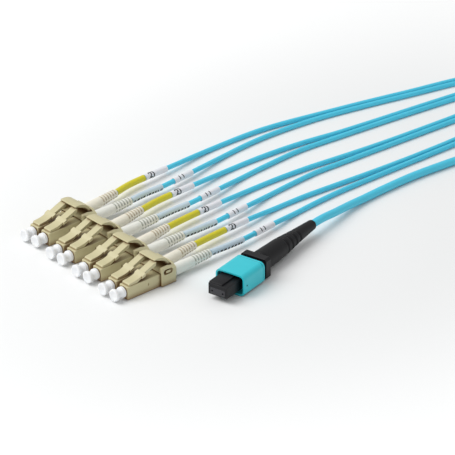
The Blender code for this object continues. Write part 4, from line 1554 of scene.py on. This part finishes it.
        def radius(x: float) -> float:
            """The boot's radius at a length from its base."""
            share = x / length
            for (low, wide), (high, narrow) in zip(self.boot_taper, self.boot_taper[1:]):
                if share <= high:
                    return (wide + (narrow - wide) * (share - low) / (high - low)) / 2 * MM
            return self.boot_taper[-1][1] / 2 * MM

        profile = [(0.0, 0.0), (0.0, radius(0) - 0.2 * MM), (0.2 * MM, radius(0))]
        profile.append((2 * MM, radius(2 * MM)))
        for i in range(self.grooves):
            x = self.groove_start + i * self.groove_pitch
            width = self.groove_pitch / 2
            profile.append((x - 0.4 * MM, radius(x - 0.4 * MM)))
            profile += bend_between((x, radius(x)), (x + width * 0.15, radius(x) - self.groove_depth),
                                    (x + width * 0.5, radius(x) - self.groove_depth), 4)
            profile += bend_between((x + width * 0.6, radius(x) - self.groove_depth),
                                    (x + width * 0.9, radius(x) - self.groove_depth),
                                    (x + width, radius(x + width)), 4)
        tip = radius(length)
        profile += bend_between((length - 0.8 * MM, radius(length - 0.8 * MM)), (length, tip),
                                (length, tip - 0.5 * MM), 5)
        profile += [(length, 0.0)]
        return turned("trunk_boot", profile)

    def build(self, bench: Bench) -> bpy.types.Object:
        """Adds the whole plug.

        Args:
            bench: Where the pieces go.

        Returns:
            Its boot.
        """
        self.build_nose(bench)
        self.build_sleeve(bench)
        return self.build_rear(bench)


@dataclass
class Trunk:
    """The trunk: its run from the plug, its coil outside the view, and its tail into the fan-out block."""

    plug: TrunkPlug
    fan_out: FanOutBlock
    diameter: float = 3.0 * MM
    coil_place: Vector = field(default_factory=lambda: HARNESS_ZERO + Vector((225.0, -31.5, 0.0)) * MM)
    outer_turn: float = 21.0 * MM
    inner_turn: float = 13.5 * MM
    layer_turns: float = 2.5
    coil_base: float = 0.8 * MM
    tie_thickness: float = 0.5 * MM
    tie_width: float = 5.0 * MM
    tie_corner: float = 0.8 * MM
    points_per_turn: int = 24
    # How many turns' worth of climb the step to the upper layer takes, as its inverse
    climb_rate: float = 6.0
    bend_steps: int = 5
    cord_step: float = 1.6 * MM

    def coil_points(self) -> list[Vector]:
        """The coil's turns: inwards in the lower layer, then outwards on top of it.

        Returns:
            The turns' points.
        """
        found = []
        count = round(2 * self.layer_turns * self.points_per_turn)
        for i in range(count + 1):
            turns = i / self.points_per_turn
            share = min(turns, 2 * self.layer_turns - turns) / self.layer_turns
            radius = self.outer_turn + (self.inner_turn - self.outer_turn) * share
            angle = math.radians(90) - math.tau * turns
            climb = min(1.0, max(0.0, (turns - self.layer_turns) * self.climb_rate + 0.5))
            height = self.coil_base + self.diameter / 2 + self.diameter * climb
            found.append(self.coil_place
                         + Vector((radius * math.cos(angle), radius * math.sin(angle), height)))
        return found

    def route_points(self) -> list[Vector]:
        """The whole route from the boot to the fan-out block.

        Returns:
            The points that the trunk runs through.
        """
        radius = self.diameter / 2
        outer = self.outer_turn + radius
        meet = math.sqrt(outer**2 - (self.outer_turn - radius) ** 2) + 2 * GAP
        centre = self.coil_place
        top = centre.y + self.outer_turn
        points = [self.plug.boot_end()] + [harness(*p) for p in TRUNK_ROUTE]
        points.append(Vector((centre.x - meet, top, self.coil_base + 0.4 * self.diameter)))
        points += self.coil_points()
        points += [Vector((centre.x + max(meet, x * MM), top, z * MM)) for x, z in COIL_EXIT]
        end = self.fan_out.nose_end()
        bend = (end.y - top) / 2
        for i in range(self.bend_steps + 1):
            share = i / self.bend_steps
            angle = math.radians(-90 + 180 * share)
            rise = (end.z - TRUNK_FLOOR) * share
            points.append(Vector((end.x + self.diameter + bend * math.cos(angle),
                                  top + bend + bend * math.sin(angle), TRUNK_FLOOR + rise)))
        return [*points, end]

    def tie_mesh(self) -> bpy.types.Mesh:
        """The strap round the coil's near side.

        Returns:
            The mesh.
        """
        radius = self.diameter / 2
        low = self.inner_turn - radius - 2 * GAP
        high = self.outer_turn + radius + GAP
        top = self.coil_base + 2 * self.diameter + GAP
        thick = self.tie_thickness
        band = block("band", (-self.tie_width / 2, -high - thick, 0),
                     (self.tie_width / 2, -low + thick, top + thick), 0.45 * thick, 2)
        opening = block("opening", (-self.tie_width, -high, thick), (self.tie_width, -low, top),
                        self.tie_corner, 4, True)
        return combine(band, "DIFFERENCE", opening)

    def build(self, bench: Bench, boot: bpy.types.Object) -> None:
        """Args:
            bench: Where the pieces go.
            boot: The trunk plug's boot. It is not used.
        """
        route = Route(self.route_points())
        curve = route.curve("trunk_cord", self.diameter, self.cord_step, 7)
        cord = bench.add("trunk_cord", curve, AQUA_JACKET,
                         replaces=["trunk_run", "trunk_coil", "trunk_tail"])
        place = Matrix.Translation(self.coil_place)
        tie = bench.add("coil_strap", self.tie_mesh(), TIE_STRAP, replaces=["coil_tie"], matrix=place)
        log.info("trunk length %.3f m", route.length)


def main() -> None:
    """Builds the camera, the studio and every sub-assembly in order."""
    logging.basicConfig(level=logging.INFO)
    Viewpoint().build()
    Studio().build()
    collection = bpy.data.collections.new("fibre_breakout_cable_looks")
    bpy.context.scene.collection.children.link(collection)
    bench = Bench(collection)
    fan_out = FanOutBlock()
    fan_out.build(bench)
    trunk_plug = TrunkPlug()
    Trunk(trunk_plug, fan_out).build(bench, trunk_plug.build(bench))
    for number in range(1, DUPLEX_COUNT + 1):
        Duplex(number, fan_out).build(bench)


if __name__ == "__main__":
    main()
